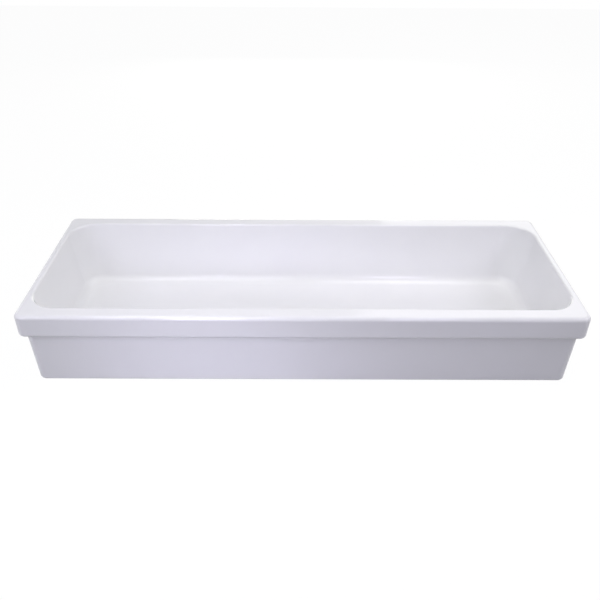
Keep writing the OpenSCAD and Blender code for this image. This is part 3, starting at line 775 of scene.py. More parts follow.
def vitreous_glaze(name, colours):
    """Vitreous white glaze, sprayed on and fired: a hard gloss with faint swells."""
    material, tree, shader, place = surface(name, IOR=1.54)
    # It pools a little here and there, and looks cooler where it does
    pools = add(tree, "ShaderNodeTexNoise", place, per(90), 2)
    blend = pools, colours.glaze, colours.glaze_shade
    add(tree, "ShaderNodeMix", *blend, data_type="RGBA", into=shader["Base Color"])
    # The fired skin is a touch less sharp where the spray was thin
    thin = add(tree, "ShaderNodeTexNoise", place, per(35), 2)
    add(tree, "ShaderNodeMapRange", thin, 0, 1, 0.02, 0.045, into=shader["Roughness"])
    # Slow swells, and on them the orange peel of the sprayed coat
    swell = add(tree, "ShaderNodeTexNoise", place, per(14), 1)
    swells = add(tree, "ShaderNodeBump", Height=swell, Distance=0.01 * MM)
    peel = add(tree, "ShaderNodeTexNoise", place, per(2.4), 1)
    coat = {"Height": peel, "Distance": 0.002 * MM, "Normal": swells}
    add(tree, "ShaderNodeBump", **coat, into=shader["Normal"])
    return material


def bare_fireclay(name, colours):
    """Unglazed fireclay, cast and fettled: dull, buff and gritty with grog."""
    material, tree, shader, place = surface(name, IOR=1.5)
    cells = add(tree, "ShaderNodeTexVoronoi", place, Scale=per(1.6)).outputs["Distance"]
    speck = add(tree, "ShaderNodeMapRange", cells, 0.12, 0.2, 0.75, 0)
    cloud = add(tree, "ShaderNodeTexNoise", place, per(22), 4)
    share = add(tree, "ShaderNodeMath", cloud, 0.25, speck, operation="MULTIPLY_ADD")
    blend = share, colours.clay, colours.grog
    add(tree, "ShaderNodeMix", *blend, data_type="RGBA", into=shader["Base Color"])
    add(tree, "ShaderNodeMapRange", cloud, 0, 1, 0.75, 0.95, into=shader["Roughness"])
    hollows = add(tree, "ShaderNodeBump", Height=cloud, Distance=0.25 * MM)
    grit = add(tree, "ShaderNodeTexNoise", place, per(0.7), 3)
    grain = {"Height": grit, "Distance": 0.12 * MM, "Normal": hollows}
    add(tree, "ShaderNodeBump", **grain, into=shader["Normal"])
    return material


def chrome_plate(name, colours):
    """Chrome on polished brass: a mirror with faint haze and polishing marks."""
    material, tree, shader, place = surface(name, Metallic=1, Base_Color=colours.chrome)
    haze = add(tree, "ShaderNodeTexNoise", place, per(6), 4)
    add(tree, "ShaderNodeMapRange", haze, 0, 1, 0.03, 0.1, into=shader["Roughness"])
    # Polishing marks are finer than this, and are drawn wider so that they show
    drawn = add(tree, "ShaderNodeMapping", place, Scale=(1, 1, 6))
    marks = add(tree, "ShaderNodeTexNoise", drawn, per(1.2), 3)
    add(tree, "ShaderNodeBump", Height=marks, Distance=0.002 * MM, into=shader["Normal"])
    return material


def tool_marks(tree, place, feed):
    """Rings round the axis at a turning tool's feed, seen on faces and on barrels alike."""
    parts = add(tree, "ShaderNodeSeparateXYZ", place).outputs
    level = add(tree, "ShaderNodeCombineXYZ", parts["X"], parts["Y"], 0)
    radius = add(tree, "ShaderNodeVectorMath", level, operation="LENGTH").outputs["Value"]
    run = add(tree, "ShaderNodeMath", radius, parts["Z"], operation="ADD")
    turns = add(tree, "ShaderNodeMath", run, 2 * pi / feed, operation="MULTIPLY")
    return add(tree, "ShaderNodeMath", turns, operation="SINE")


def turned_brass(name, colours):
    """Bare brass, turned and left to dull: warm, with fine rings and patches of tarnish."""
    material, tree, shader, place = surface(name, Metallic=1)
    patches = add(tree, "ShaderNodeTexNoise", place, per(7), 4)
    blend = patches, colours.brass, colours.brass_dull
    add(tree, "ShaderNodeMix", *blend, data_type="RGBA", into=shader["Base Color"])
    add(tree, "ShaderNodeMapRange", patches, 0, 1, 0.2, 0.42, into=shader["Roughness"])
    rings = tool_marks(tree, place, 0.35 * MM)
    add(tree, "ShaderNodeBump", Height=rings, Distance=0.004 * MM, into=shader["Normal"])
    return material


def turned_steel(name, colours):
    """Stainless steel, turned: bright grey with fine rings."""
    material, tree, shader, place = surface(name, Metallic=1, Base_Color=colours.steel)
    wear = add(tree, "ShaderNodeTexNoise", place, per(3), 3)
    add(tree, "ShaderNodeMapRange", wear, 0, 1, 0.16, 0.3, into=shader["Roughness"])
    rings = tool_marks(tree, place, 0.25 * MM)
    add(tree, "ShaderNodeBump", Height=rings, Distance=0.003 * MM, into=shader["Normal"])
    return material


def drawn_wire(name, colours):
    """Stainless spring wire, drawn through a die: bright, with faint streaks."""
    material, tree, shader, place = surface(name, Metallic=1, Base_Color=colours.steel)
    streaks = add(tree, "ShaderNodeTexNoise", place, per(0.8), 3)
    add(tree, "ShaderNodeMapRange", streaks, 0, 1, 0.12, 0.28, into=shader["Roughness"])
    return material


def moulded_rubber(name, colours):
    """Black rubber, moulded: dull, with a fine grain and a pale bloom."""
    material, tree, shader, place = surface(name, IOR=1.52)
    bloom = add(tree, "ShaderNodeTexNoise", place, per(9), 5, 0.6)
    blend = bloom, colours.rubber, colours.rubber_bloom
    add(tree, "ShaderNodeMix", *blend, data_type="RGBA", into=shader["Base Color"])
    add(tree, "ShaderNodeMapRange", bloom, 0, 1, 0.5, 0.75, into=shader["Roughness"])
    grain = add(tree, "ShaderNodeTexNoise", place, per(0.5), 3)
    add(tree, "ShaderNodeBump", Height=grain, Distance=0.02 * MM, into=shader["Normal"])
    return material


def milky_silicone(name, colours):
    """Silicone, moulded clear: milky, soft to the light and slightly greasy."""
    material, tree, shader, place = surface(
        name, IOR=1.41, Base_Color=colours.silicone, Transmission_Weight=0.35
    )
    grease = add(tree, "ShaderNodeTexNoise", place, per(5), 3)
    add(tree, "ShaderNodeMapRange", grease, 0, 1, 0.28, 0.42, into=shader["Roughness"])
    grain = add(tree, "ShaderNodeTexNoise", place, per(0.8), 2)
    add(tree, "ShaderNodeBump", Height=grain, Distance=0.01 * MM, into=shader["Normal"])
    return material


def moulded_acetal(name, colours):
    """Acetal, injection moulded: an even colour, a soft sheen and slight sink marks."""
    material, tree, shader, place = surface(name, IOR=1.48)
    colour = colours.white_plastic if "white" in name else colours.grey_plastic
    sinks = add(tree, "ShaderNodeTexNoise", place, per(8), 3)
    blend = sinks, colour, darker(colour, 0.9)
    add(tree, "ShaderNodeMix", *blend, data_type="RGBA", into=shader["Base Color"])
    add(tree, "ShaderNodeMapRange", sinks, 0, 1, 0.32, 0.46, into=shader["Roughness"])
    hollows = add(tree, "ShaderNodeBump", Height=sinks, Distance=0.02 * MM)
    grain = add(tree, "ShaderNodeTexNoise", place, per(0.35), 2)
    skin = {"Height": grain, "Distance": 0.006 * MM, "Normal": hollows}
    add(tree, "ShaderNodeBump", **skin, into=shader["Normal"])
    return material


FINISHES = {
    "vitreous_glaze": vitreous_glaze,
    "bare_fireclay": bare_fireclay,
    "chrome_plate": chrome_plate,
    "turned_brass": turned_brass,
    "turned_steel": turned_steel,
    "drawn_wire": drawn_wire,
    "moulded_rubber": moulded_rubber,
    "milky_silicone": milky_silicone,
    "white_acetal": moulded_acetal,
    "grey_acetal": moulded_acetal,
}


# ---- Basin ----

# A level ring of the trough's skin, from a rounded rectangle (roundness 0) to a circle (1)
Level = namedtuple("Level", "half_x half_y corner_r z round_r roundness")
# What the level's point holds beside its place, which is its half sizes and its height
LEVEL_NUMBERS = "corner_r", "round_r", "roundness"


def bowl_fillet(size):
    """Draw-in from the bowl's mouth and height of the centre of the bowl's fillet."""
    fillet_z = size.floor_z + size.floor_fall + size.bowl_fillet_r
    by_draft = (size.rim_height - fillet_z) * tan(size.bowl_draft)
    return by_draft + size.bowl_fillet_r / cos(size.bowl_draft), fillet_z


def spread(levels, gap):
    """Adds even levels wherever two levels lie further apart than a gap."""
    full = levels[:1]
    for last, level in zip(levels, levels[1:]):
        steps = max(1, round(hypot(level.half_x - last.half_x, level.z - last.z) / gap))
        for i in range(1, steps + 1):
            full.append(Level(*(a + (b - a) * i / steps for a, b in zip(last, level))))
    return full


def trough_levels(size):
    """Levels from the waste's seat up the bowl, over the rim and down to the foot."""

    def circle(radius, z):
        return Level(radius, radius, radius, z, radius, 1)

    def rectangle(x, y, corner_r, shrink=1):
        """A function that gives this rounded rectangle, drawn in and at a height."""

        def drawn_in(inward, z):
            return Level(x - inward, y - inward, corner_r - shrink * inward, z, size.pad_r, 0)

        return drawn_in

    rim_x, rim_y = size.rim_length / 2, size.rim_width / 2
    bowl_x, bowl_y = rim_x - size.rim_end_width, rim_y - size.rim_side_width
    apron_x, apron_y = rim_x - size.apron_inset, rim_y - size.apron_inset
    bowl = rectangle(bowl_x, bowl_y, size.bowl_corner_r, size.bowl_corner_shrink)
    rim = rectangle(rim_x, rim_y, size.rim_corner_r)
    apron = rectangle(apron_x, apron_y, size.apron_corner_r)
    foot = rectangle(apron_x - size.apron_taper, apron_y - size.apron_taper, size.apron_corner_r)

    # From the hole across the seat to the level pad
    seat_z = span("flange_seal")[1]
    lip = size.seat_r + size.seat_edge_r, size.floor_z - size.seat_edge_r
    levels = [circle(size.waste_hole_r, seat_z), circle(size.seat_r, seat_z)]
    levels += [circle(*point) for point in arc(lip, size.seat_edge_r, pi, pi / 2, 5)]
    levels.append(circle(size.pad_r, size.floor_z))

    # The floor eases up from the pad to the fillet
    fillet = bowl_fillet(size)
    edge = bowl(fillet[0], size.floor_z + size.floor_fall)
    floor_steps = 28
    for i in range(1, floor_steps):
        share = i / floor_steps
        rise = size.floor_fall * share * share * (3 - 2 * share)
        levels.append(edge._replace(z=size.floor_z + rise, roundness=1 - share))

    # The bends from the bowl's fillet over the rim to the foot: whose levels, centre, radius,
    # first and last angle, and steps. Even levels lie between them
    draft, cove, low = size.bowl_draft, size.apron_cove_r, size.rim_height - size.rim_band
    mouth = size.bowl_edge_r * (tan(draft) - 1 / cos(draft)), size.rim_height - size.bowl_edge_r
    bends = (
        (bowl, fillet, size.bowl_fillet_r, 1.5 * pi, pi + draft, 14),
        (bowl, mouth, size.bowl_edge_r, draft, pi / 2, 8),
        (rim, (size.rim_top_r, size.rim_height - size.rim_top_r), size.rim_top_r, pi / 2, pi, 10),
        (rim, (size.rim_low_r, low + size.rim_low_r), size.rim_low_r, pi, 1.5 * pi, 10),
        (apron, (-cove, low - cove), cove, pi / 2, 0, 5),
        (foot, (size.foot_edge_r, size.foot_edge_r), size.foot_edge_r, pi, 1.5 * pi, 8),
    )
    wall = [level(*point) for level, *bend in bends for point in arc(*bend)]
    levels += spread(wall, gap=9 * MM)

    # Across the foot's plane, and up the hole again
    return levels + [circle(size.waste_hole_r, 0), circle(size.waste_hole_r, seat_z)]


def trough_skin(size):
    """The glazed skin of the basin as one closed mesh, without the hollow underneath."""
    levels = trough_levels(size)
    mesh = bpy.data.meshes.new("trough_levels")
    mesh.from_pydata([(level.half_x, level.half_y, level.z) for level in levels], [], [])
    for name in LEVEL_NUMBERS:
        numbers = mesh.attributes.new(name, "FLOAT", "POINT")
        numbers.data.foreach_set("value", [getattr(level, name) for level in levels])
    helper = new_object("trough_levels", mesh)
    skin = grown(
        "trough",
        trough_tree,
        levels=helper,
        corner_steps=20,
        side_steps=56,
        wobble=size.wobble,
        wobble_size=size.wobble_size,
        wobble_seed=7.0,
        level_foot=40 * MM,
        material=finish("vitreous_glaze"),
    )
    dropped(helper)
    return faced(skin)


def hollow_bays(size):
    """Solids of air under the floor: three bays between the cross webs, which also rise
    between the bowl and the apron, and leave the boss round the waste."""
    fillet_in, fillet_z = bowl_fillet(size)
    bowl_y = size.rim_width / 2 - size.rim_side_width
    outer_y = size.rim_width / 2 - size.apron_inset - size.apron_taper - size.apron_wall
    wall_y = bowl_y + size.shell_wall / cos(size.bowl_draft)
    centre = (bowl_y - fillet_in, fillet_z)
    half = [
        (outer_y, -PAST),
        (outer_y, size.hollow_top_z),
        (wall_y - (size.rim_height - size.hollow_top_z) * tan(size.bowl_draft), size.hollow_top_z),
        *arc(centre, size.bowl_fillet_r + size.shell_wall, -size.bowl_draft, -pi / 2, 10),
        (size.pad_r, size.floor_z - size.shell_wall),
    ]
    section = half + [(-y, z) for y, z in reversed(half)]
    end_x = size.rim_length / 2 - size.rim_end_width - fillet_in
    web = size.web_x - size.web_t / 2, size.web_x + size.web_t / 2
    clay = finish("bare_fireclay")
    bays = []
    for low, high in ((-end_x, -web[1]), (-web[0], web[0]), (web[1], end_x)):
        bay = prism("hollow_bay", section, low, high, clay, ALONG_X)
        bays.append(bevelled(bay, size.hollow_edge_r, segments=3))
    boss = prism("boss", polygon(size.boss_r, SMALL), size.boss_z, size.floor_z, clay)
    carved(bays[1], "DIFFERENCE", boss)
    return bays


class TROUGH_OT_basin(bpy.types.Operator):
    """Makes the one-piece fireclay basin: glazed trough, bare foot and hollow underside"""

    bl_idname = "trough_sink.basin"
    bl_label = "Basin"

    def execute(self, context):
        size = context.scene.trough_sink.basin
        both = finish("vitreous_glaze"), finish("bare_fireclay")
        trough = dressed(trough_skin(size), *both)
        bays = [dressed(bay, *both, index=1) for bay in hollow_bays(size)]
        carved(trough, "DIFFERENCE", *bays)
        for face in trough.data.polygons:
            if face.center.z < size.bare_foot:
                face.material_index = 1
        mounted(polished(trough), "sink", "glazed_fireclay", "basin")
        return {"FINISHED"}


# ---- Waste ----


class TROUGH_OT_waste_body(bpy.types.Operator):
    """Makes the chromed flange with its threaded barrel and the spider across its bore"""

    bl_idname = "trough_sink.waste_body"
    bl_label = "Waste body"

    def execute(self, context):
        sizes = context.scene.trough_sink
        bore_r = sizes.waste.barrel_r - sizes.waste.barrel_wall
        body = self.make_flange(sizes.waste, bore_r)
        spider = self.make_spider(sizes.waste, sizes.cartridge.stud_out, bore_r)
        carved(body, "UNION", spider)
        mounted(faced(body), "sink", "chromed_brass", "waste_body")
        return {"FINISHED"}

    def make_flange(self, size, bore_r):
        flange_r, barrel_z, crest_z = span("waste_body")
        flange_z = span("flange_seal")[2]
        mouth_r, mouth_z = bore_r + size.mouth_w, crest_z - size.dish_fall
        chamfer = 0.6 * MM
        edge_r, crest_r, throat_r = 0.7 * MM, 2.5 * MM, 1.2 * MM
        ends = barrel_z + chamfer, barrel_z + size.thread_length
        points = outline(
            (size.barrel_r, flange_z, FULL),
            (flange_r, flange_z, BROKEN),
            (flange_r, flange_z + size.flange_edge_t, edge_r),
            (flange_r - size.flange_crest, crest_z, crest_r),
            (mouth_r, mouth_z, FULL),
            (bore_r, mouth_z - size.mouth_depth, throat_r),
            (bore_r, barrel_z, BROKEN),
            (size.barrel_r - chamfer, barrel_z),
            (size.barrel_r, ends[0]),
        )
        points += thread(size.barrel_r, *ends, size.thread_pitch, size.thread_depth)
        points.append((size.barrel_r, ends[1]))
        return turned("waste_flange", points, finish("chrome_plate"), WIDE, size.thread_pitch, ends)

    def make_spider(self, size, stud_out, bore_r):
        chrome = finish("chrome_plate")
        low = span("click_housing")[1] + stud_out
        high = low + size.spider_h
        section = outline(
            (size.hub_bore_r, low, BROKEN),
            (size.spider_hub_r, low, ROUNDED),
            (size.spider_hub_r, high, ROUNDED),
            (size.hub_bore_r, high, BROKEN),
        )
        hub = turned("spider_hub", section, chrome)
        # Each arm begins inside the hub and ends inside the barrel's wall
        inner, outer = (size.hub_bore_r + size.spider_hub_r) / 2, bore_r + size.barrel_wall / 4
        half_t = size.spider_arm_t / 2
        form = [(inner, -half_t), (outer, -half_t), (outer, half_t), (inner, half_t)]
        arm = bevelled(prism("spider_arm", form, low, high, chrome), EASED)
        return carved(hub, "UNION", round_the_axis(polished(arm), size.spider_arms, chrome))


class TROUGH_OT_rubber_rings(bpy.types.Operator):
    """Makes the flange's seal, the cone washer under the basin and the tail's seal"""

    bl_idname = "trough_sink.rubber_rings"
    bl_label = "Rubber rings"

    def execute(self, context):
        sizes = context.scene.trough_sink
        size, boss_z = sizes.waste, sizes.basin.boss_z
        rubber = finish("moulded_rubber")
        for name, node, bore in (
            ("flange_gasket", "flange_seal", size.nut_bore_r),
            ("tail_gasket", "tail_seal", sizes.tail.seal_bore_r),
        ):
            mounted(ring(name, bore, *span(node), SOFT, rubber), "sink", "black_rubber", node)

        radius, low, high = span("cone_washer")
        shoulder = 0.9 * MM
        section = outline(
            (size.nut_bore_r, low, SOFT),
            (radius, low, shoulder),
            (radius, boss_z, shoulder),
            (size.hole_lip_r, boss_z, BROKEN),
            (size.lip_top_r, high, SOFT),
            (size.nut_bore_r, high, SOFT),
        )
        cone = turned("cone_washer_rubber", section, rubber)
        mounted(cone, "sink", "black_rubber", "cone_washer")
        return {"FINISHED"}


class TROUGH_OT_clamp(bpy.types.Operator):
    """Makes the slip washer and the lock nut that clamp the waste under the basin"""

    bl_idname = "trough_sink.clamp"
    bl_label = "Clamp"

    def execute(self, context):
        size = context.scene.trough_sink.waste
        white, brass = finish("white_acetal"), finish("turned_brass")
        slip = ring("slip_ring", size.nut_bore_r, *span("slip_washer"), BROKEN, white)
        mounted(slip, "sink", "white_plastic", "slip_washer")

        low, high = span("lock_nut")[1:]
        bore = chamfered_bore(size.nut_bore_r, low, high, FULL)
        nut = hex_nut("lock_nut_brass", size.lock_nut_af, low, high, bore, SOFT, brass)
        mounted(nut, "sink", "bare_brass", "lock_nut")
        return {"FINISHED"}


class TROUGH_OT_tail(bpy.types.Operator):
    """Makes the chromed tail tube with its collar, and the nut that holds it"""

    bl_idname = "trough_sink.tail"
    bl_label = "Tail"

    def execute(self, context):
        size = context.scene.trough_sink.tail
        chrome = finish("chrome_plate")
        bore_r = size.tube_r - size.tube_wall
        collar_r, end_z, top_z = span("tail_tube")
        collar_z = top_z - size.collar_t
        eased_more = 0.6 * MM
        section = outline(
            (bore_r, top_z, EASED),
            (collar_r, top_z, ROUNDED),
            (collar_r, collar_z, ROUNDED),
            (size.tube_r, collar_z, eased_more),
            (size.tube_r, end_z, SOFT),
            (bore_r, end_z, SOFT),
        )
        tube = turned("tail_pipe", section, chrome, WIDE)
        # The plate doesn't reach down the bore, which shows the drawn brass
        tube.data.materials.append(finish("turned_brass"))
        for face in tube.data.polygons:
            if hypot(face.center.x, face.center.y) < bore_r + 0.1 * size.tube_wall:
                face.material_index = 1
        mounted(tube, "sink", "chromed_brass", "tail_tube")

        nut_bore_r = context.scene.trough_sink.waste.nut_bore_r
        low, high = span("tail_nut")[1:]
        bore = (
            (nut_bore_r, high, ROUNDED),
            (nut_bore_r, low + size.nut_lip),
            (size.nut_hole_r, low + size.nut_lip, BROKEN),
            (size.nut_hole_r, low, eased_more),
        )
        nut = hex_nut("tail_nut_chromed", size.nut_af, low, high, bore, ROUNDED, chrome)
        mounted(nut, "sink", "chromed_brass", "tail_nut")
        return {"FINISHED"}


# ---- Click cartridge ----


class TROUGH_OT_cartridge(bpy.types.Operator):
    """Makes the click cartridge: its housing and cap, the plunger and the index rotor"""

    bl_idname = "trough_sink.cartridge"
    bl_label = "Click cartridge"

    def execute(self, context):
        size = context.scene.trough_sink.cartridge
        self.make_housing(size, context.scene.trough_sink.waste.spider_h)
        self.make_cap(size)
        self.make_plunger(size)
        self.make_rotor(size)
        return {"FINISHED"}

    def make_housing(self, size, spider_h):
        white = finish("white_acetal")
        radius, stud_low, top = span("click_housing")
        low = stud_low + size.stud_out + spider_h
        floor = low + size.floor_t
        ends = stud_low + size.stud_depth, low
        points = outline(
            (0, floor),
            (size.bore_r, floor, EASED),
            (size.bore_r, top, KEEN),
            (radius, top, BROKEN),
            (radius, low, EASED),
            (size.stud_r, low),
        )
        points += reversed(thread(size.stud_r, *ends, size.stud_pitch, size.stud_depth))
        points += [(size.stud_r, ends[0]), (size.stud_r - size.stud_depth, stud_low), (0, stud_low)]
        housing = turned("cartridge_housing", points, white, SMALL, size.stud_pitch, ends)

        flat_x, flats_top = size.flats / 2, low + size.flats_h
        side = [(flat_x, -radius), (2 * radius, -radius), (2 * radius, radius), (flat_x, radius)]
        flats = round_the_axis(prism("flats", side, low - PAST, flats_top, white), 2, white)
        # The flutes' middles lie a little outside the housing, so that they cut shallow
        outside = 0.25 * MM
        form = polygon(size.flute_r, sides=16, centre_x=radius + outside)
        flute = prism("flute", form, flats_top + size.flute_gap, top - size.flute_gap, white)
        carved(housing, "DIFFERENCE", flats, round_the_axis(flute, size.flutes, white))
        mounted(faced(housing), "sink", "white_plastic", "click_housing")

    def make_cap(self, size):
        grey = finish("grey_acetal")
        radius, low, high = span("click_cap")
        ledge = low + size.spigot_h
        section = outline(
            (size.cap_bore_r, low, FINE),
            (size.spigot_r, low, EASED),
            (size.spigot_r, ledge),
            (radius, ledge, CRISP),
            (radius, high, EASED),
            (size.cap_bore_r, high, SOFT),
        )
        cap = turned("cartridge_cap", section, grey)
        outside = 0.1 * MM
        form = polygon(size.notch_r, sides=8, centre_x=radius + outside)
        notch = prism("notch", form, ledge - PAST, high + PAST, grey)
        carved(cap, "DIFFERENCE", round_the_axis(notch, size.notches, grey))
        mounted(faced(cap), "sink", "grey_plastic", "click_cap")

    def make_plunger(self, size):
        low, high = span("plunger")[1:]
        collar_z = low + size.pin_length
        stem_z = collar_z + size.collar_t
        stem_top = span("height_nut")[1]
        relief = 0.5 * MM
        ends = stem_top + relief, high - size.stud_depth
        points = outline(
            (0, low),
            (size.pin_r, low, EASED),
            (size.pin_r, collar_z, KEEN),
            (size.collar_r, collar_z, BROKEN),
            (size.collar_r, stem_z, BROKEN),
            (size.stem_r, stem_z, BROKEN),
            (size.stem_r, stem_top, EASED),
            (size.top_r, stem_top),
            (size.top_r, ends[0]),
        )
        points += thread(size.top_r, *ends, size.stud_pitch, size.stud_depth)
        points += [(size.top_r, ends[1]), (size.top_r - size.stud_depth, high), (0, high)]
        steel = finish("turned_steel")
        plunger = turned("plunger_stem", points, steel, SMALL, size.stud_pitch, ends)
        mounted(plunger, "plug", "stainless_steel", "plunger")

    def make_rotor(self, size):
        grey = finish("grey_acetal")
        tip_r, low, high = span("index_rotor")
        rotor = ring("rotor_ring", size.rotor_bore_r, size.rotor_r, low, high, FINE, grey)
        half_t = size.fin_t / 2
        # Each fin ends in a slope that rides on the cam in the housing
        form = [(-half_t, low), (half_t, low), (half_t, high - size.fin_t), (-half_t, high)]
        sunk, play = 0.5 * MM, 0.02 * MM
        fin = prism("rotor_fin", form, size.rotor_r - sunk, tip_r - play, grey, ALONG_X)
        bevelled(fin, CRISP)
        carved(rotor, "UNION", round_the_axis(polished(fin), size.fins, grey))
        mounted(faced(rotor), "rotor", "grey_plastic", "index_rotor")


class TROUGH_OT_return_spring(bpy.types.Operator):
    """Winds the return spring, which shortens as the plug is pressed"""

    bl_idname = "trough_sink.return_spring"
    bl_label = "Return spring"

    def execute(self, context):
        size = context.scene.trough_sink.cartridge
        radius, low, high = span("return_spring")
        spring = grown(
            "spring_wire",
            spring_tree,
            turns=size.spring_turns,
            steps=36,
            wire_sides=12,
            coil_radius=radius - size.wire_r,
            wire_radius=size.wire_r,
            bottom=low,
            top=high,
            close_pitch=size.close_pitch,
            material=finish("drawn_wire"),
        )
        mounted(faced(spring), "sink", "stainless_steel", "return_spring")
        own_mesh(spring)
        return {"FINISHED"}


# ---- Plug ----


class TROUGH_OT_plug(bpy.types.Operator):
    """Makes the plug: chromed cap, moulded carrier, silicone seal and height nut"""

    bl_idname = "trough_sink.plug"
    bl_label = "Plug"

    def execute(self, context):
        size = context.scene.trough_sink.plug
        self.make_cap(size)
        self.make_carrier(size)
        self.make_seal(context.scene.trough_sink.waste)
        self.make_height_nut(size)
        return {"FINISHED"}

    def make_cap(self, size):
        radius, low, high = span("plug_cap")
        edge_z = low + size.edge_t
        dome_steps = 16
        dome = []
        for i in range(dome_steps - 1):
            a = 0.5 * pi * i / dome_steps
            dome.append((radius * sin(a), edge_z + (high - edge_z) * cos(a)))
        rolled = outline(dome[-1], (radius, edge_z, size.roll_r), (radius, low, EASED), (0, low))
        cap = turned("plug_cap_chromed", dome[:-1] + rolled, finish("chrome_plate"), WIDE)
        mounted(cap, "plug", "chromed_brass", "plug_cap")

    def make_carrier(self, size):
        white = finish("white_acetal")
        radius, hub_low, high = span("plug_carrier")
        low = high - size.carrier_t
        socket_top = span("plunger")[2]
        section = outline(
            (0, socket_top),
            (size.socket_r, socket_top),
            (size.socket_r, hub_low, BROKEN),
            (size.carrier_hub_r, hub_low, EASED),
            (size.carrier_hub_r, low, EASED),
            (radius, low, EASED),
            (radius, high, CRISP),
            (0, high),
        )
        carrier = turned("plug_carrier_moulded", section, white)
        # Pockets under the disc leave radial ribs, as on a moulding of even wall
        inner, outer = size.carrier_hub_r + size.rib_t, radius - 1.5 * size.rib_t
        half = pi / size.pockets
        trim_in, trim_out = size.rib_t / 2 / inner, size.rib_t / 2 / outer
        form = arc((0, 0), outer, -half + trim_out, half - trim_out, steps=6)
        form += arc((0, 0), inner, half - trim_in, -half + trim_in, steps=4)
        pocket = prism("pocket", form, low - PAST, low + size.pocket_depth, white)
        carved(carrier, "DIFFERENCE", round_the_axis(pocket, size.pockets, white))
        mounted(polished(carrier), "plug", "white_plastic", "plug_carrier")

    def make_seal(self, size):
        """The seal's underside follows the flange's dish, on which it closes."""
        inner = span("plug_carrier")[0]
        radius, low, high = span("plug_seal")
        mouth_r = size.barrel_r - size.barrel_wall + size.mouth_w
        dish_r = span("waste_body")[0] - size.flange_crest
        rise = size.dish_fall * (radius - mouth_r) / (dish_r - mouth_r)
        section = outline(
            (inner, low, KEEN),
            (mouth_r, low),
            (radius, low + rise, FINE),
            (radius, high, BROKEN),
            (inner, high, CRISP),
        )
        seal = turned("plug_seal_silicone", section, finish("milky_silicone"))
        mounted(seal, "plug", "clear_silicone", "plug_seal")

    def make_height_nut(self, size):
        low, high = span("height_nut")[1:]
        bore = chamfered_bore(size.socket_r, low, high, BROKEN)
        edge = 0.12 * MM
        brass = finish("turned_brass")
        nut = hex_nut("height_nut_brass", size.nut_af, low, high, bore, edge, brass)
        mounted(nut, "plug", "bare_brass", "height_nut")


# ---- Stage ----

# Softboxes: name, place, point that each faces, size in metres, spread in degrees, watts, colour
SOFTBOXES = (
    ("softbox_left", (-1.84, -0.76, 1.77), (0, 0, 0.1), (1.2, 1.2), 180, 7.2, "#F4F3FF"),
    ("softbox_front_left", (-1.5, -1.5, 1.0), (-0.3, -0.2, 0.1), (0.8, 1.2), 180, 7, "#F2F0FF"),
    ("softbox_right", (1.6, -0.5, 1.3), (0.1, 0.1, 0.1), (0.8, 0.8), 180, 8.8, "#F6F4FF"),
    ("softbox_overhead", (0.5, 0.1, 1.5), (0.4, 0, 0.1), (0.8, 0.8), 180, 5, "#FFFFF4"),
    ("strip_overhead", (-0.6, -0.35, 2.0), (-0.6, -0.35, 0), (0.9, 0.3), 180, 5, "#FFFFFF"),
    ("softbox_back_right", (1.35, 2.5, 1.9), (0.2, 0, 0.1), (1.8, 1.4), 180, 9, "#FFFFFF"),
    ("softbox_back_low", (0, 2.5, 0.6), (0, 0, 0.1), (1.5, 0.7), 180, 12, "#FFFFF0"),
    ("grid_overhead", (-0.5, -1.2, 1.6), (-0.3, -0.2, 0.1), (0.8, 0.6), 70, 0.9, "#F4F3FF"),
    ("grid_front", (-0.4, -1.5, 0.6), (-0.2, -0.22, 0.05), (0.3, 0.3), 34, 0.25, "#E8E4FF"),
    ("grid_front_right", (0.5, -1.3, 0.9), (0.3, -0.22, 0.08), (0.3, 0.4), 40, 0.12, "#E4DCFF"),
    ("softbox_below", (-0.5, -0.9, -1.5), (0, 0, 0), (1.2, 0.8), 180, 22, "#FFFFFF"),
)


def looked_at(tree):
    """1 where the camera, a reflection or a clear piece looks, and 0 for light on a surface."""
    path = add(tree, "ShaderNodeLightPath").outputs
    seen = path["Is Camera Ray"], path["Is Glossy Ray"]
    either = add(tree, "ShaderNodeMath", *seen, operation="MAXIMUM")
    through = path["Is Transmission Ray"]
    return add(tree, "ShaderNodeMath", either, through, operation="MAXIMUM")


def painted_board(stage):
    """Painted board, matt: pale, and pure white to the eye but where a shadow lies on it."""
    material, tree, shader, place = surface(
        "painted_board", Roughness=0.9, Specular_IOR_Level=0.1
    )
    clouds = add(tree, "ShaderNodeTexNoise", place, per(400), 2)
    blend = clouds, stage.floor_colour, darker(stage.floor_colour, 0.985)
    add(tree, "ShaderNodeMix", *blend, data_type="RGBA", into=shader["Base Color"])
    share = add(tree, "ShaderNodeMath", looked_at(tree), stage.floor_glow, operation="MULTIPLY")
    glow = add(tree, "ShaderNodeEmission", (1, 1, 1, 1), stage.floor_white)
    paint, end = tree.nodes["Principled BSDF"], tree.nodes["Material Output"]
    add(tree, "ShaderNodeMixShader", share, paint, glow, into=end.inputs["Surface"])
    return material


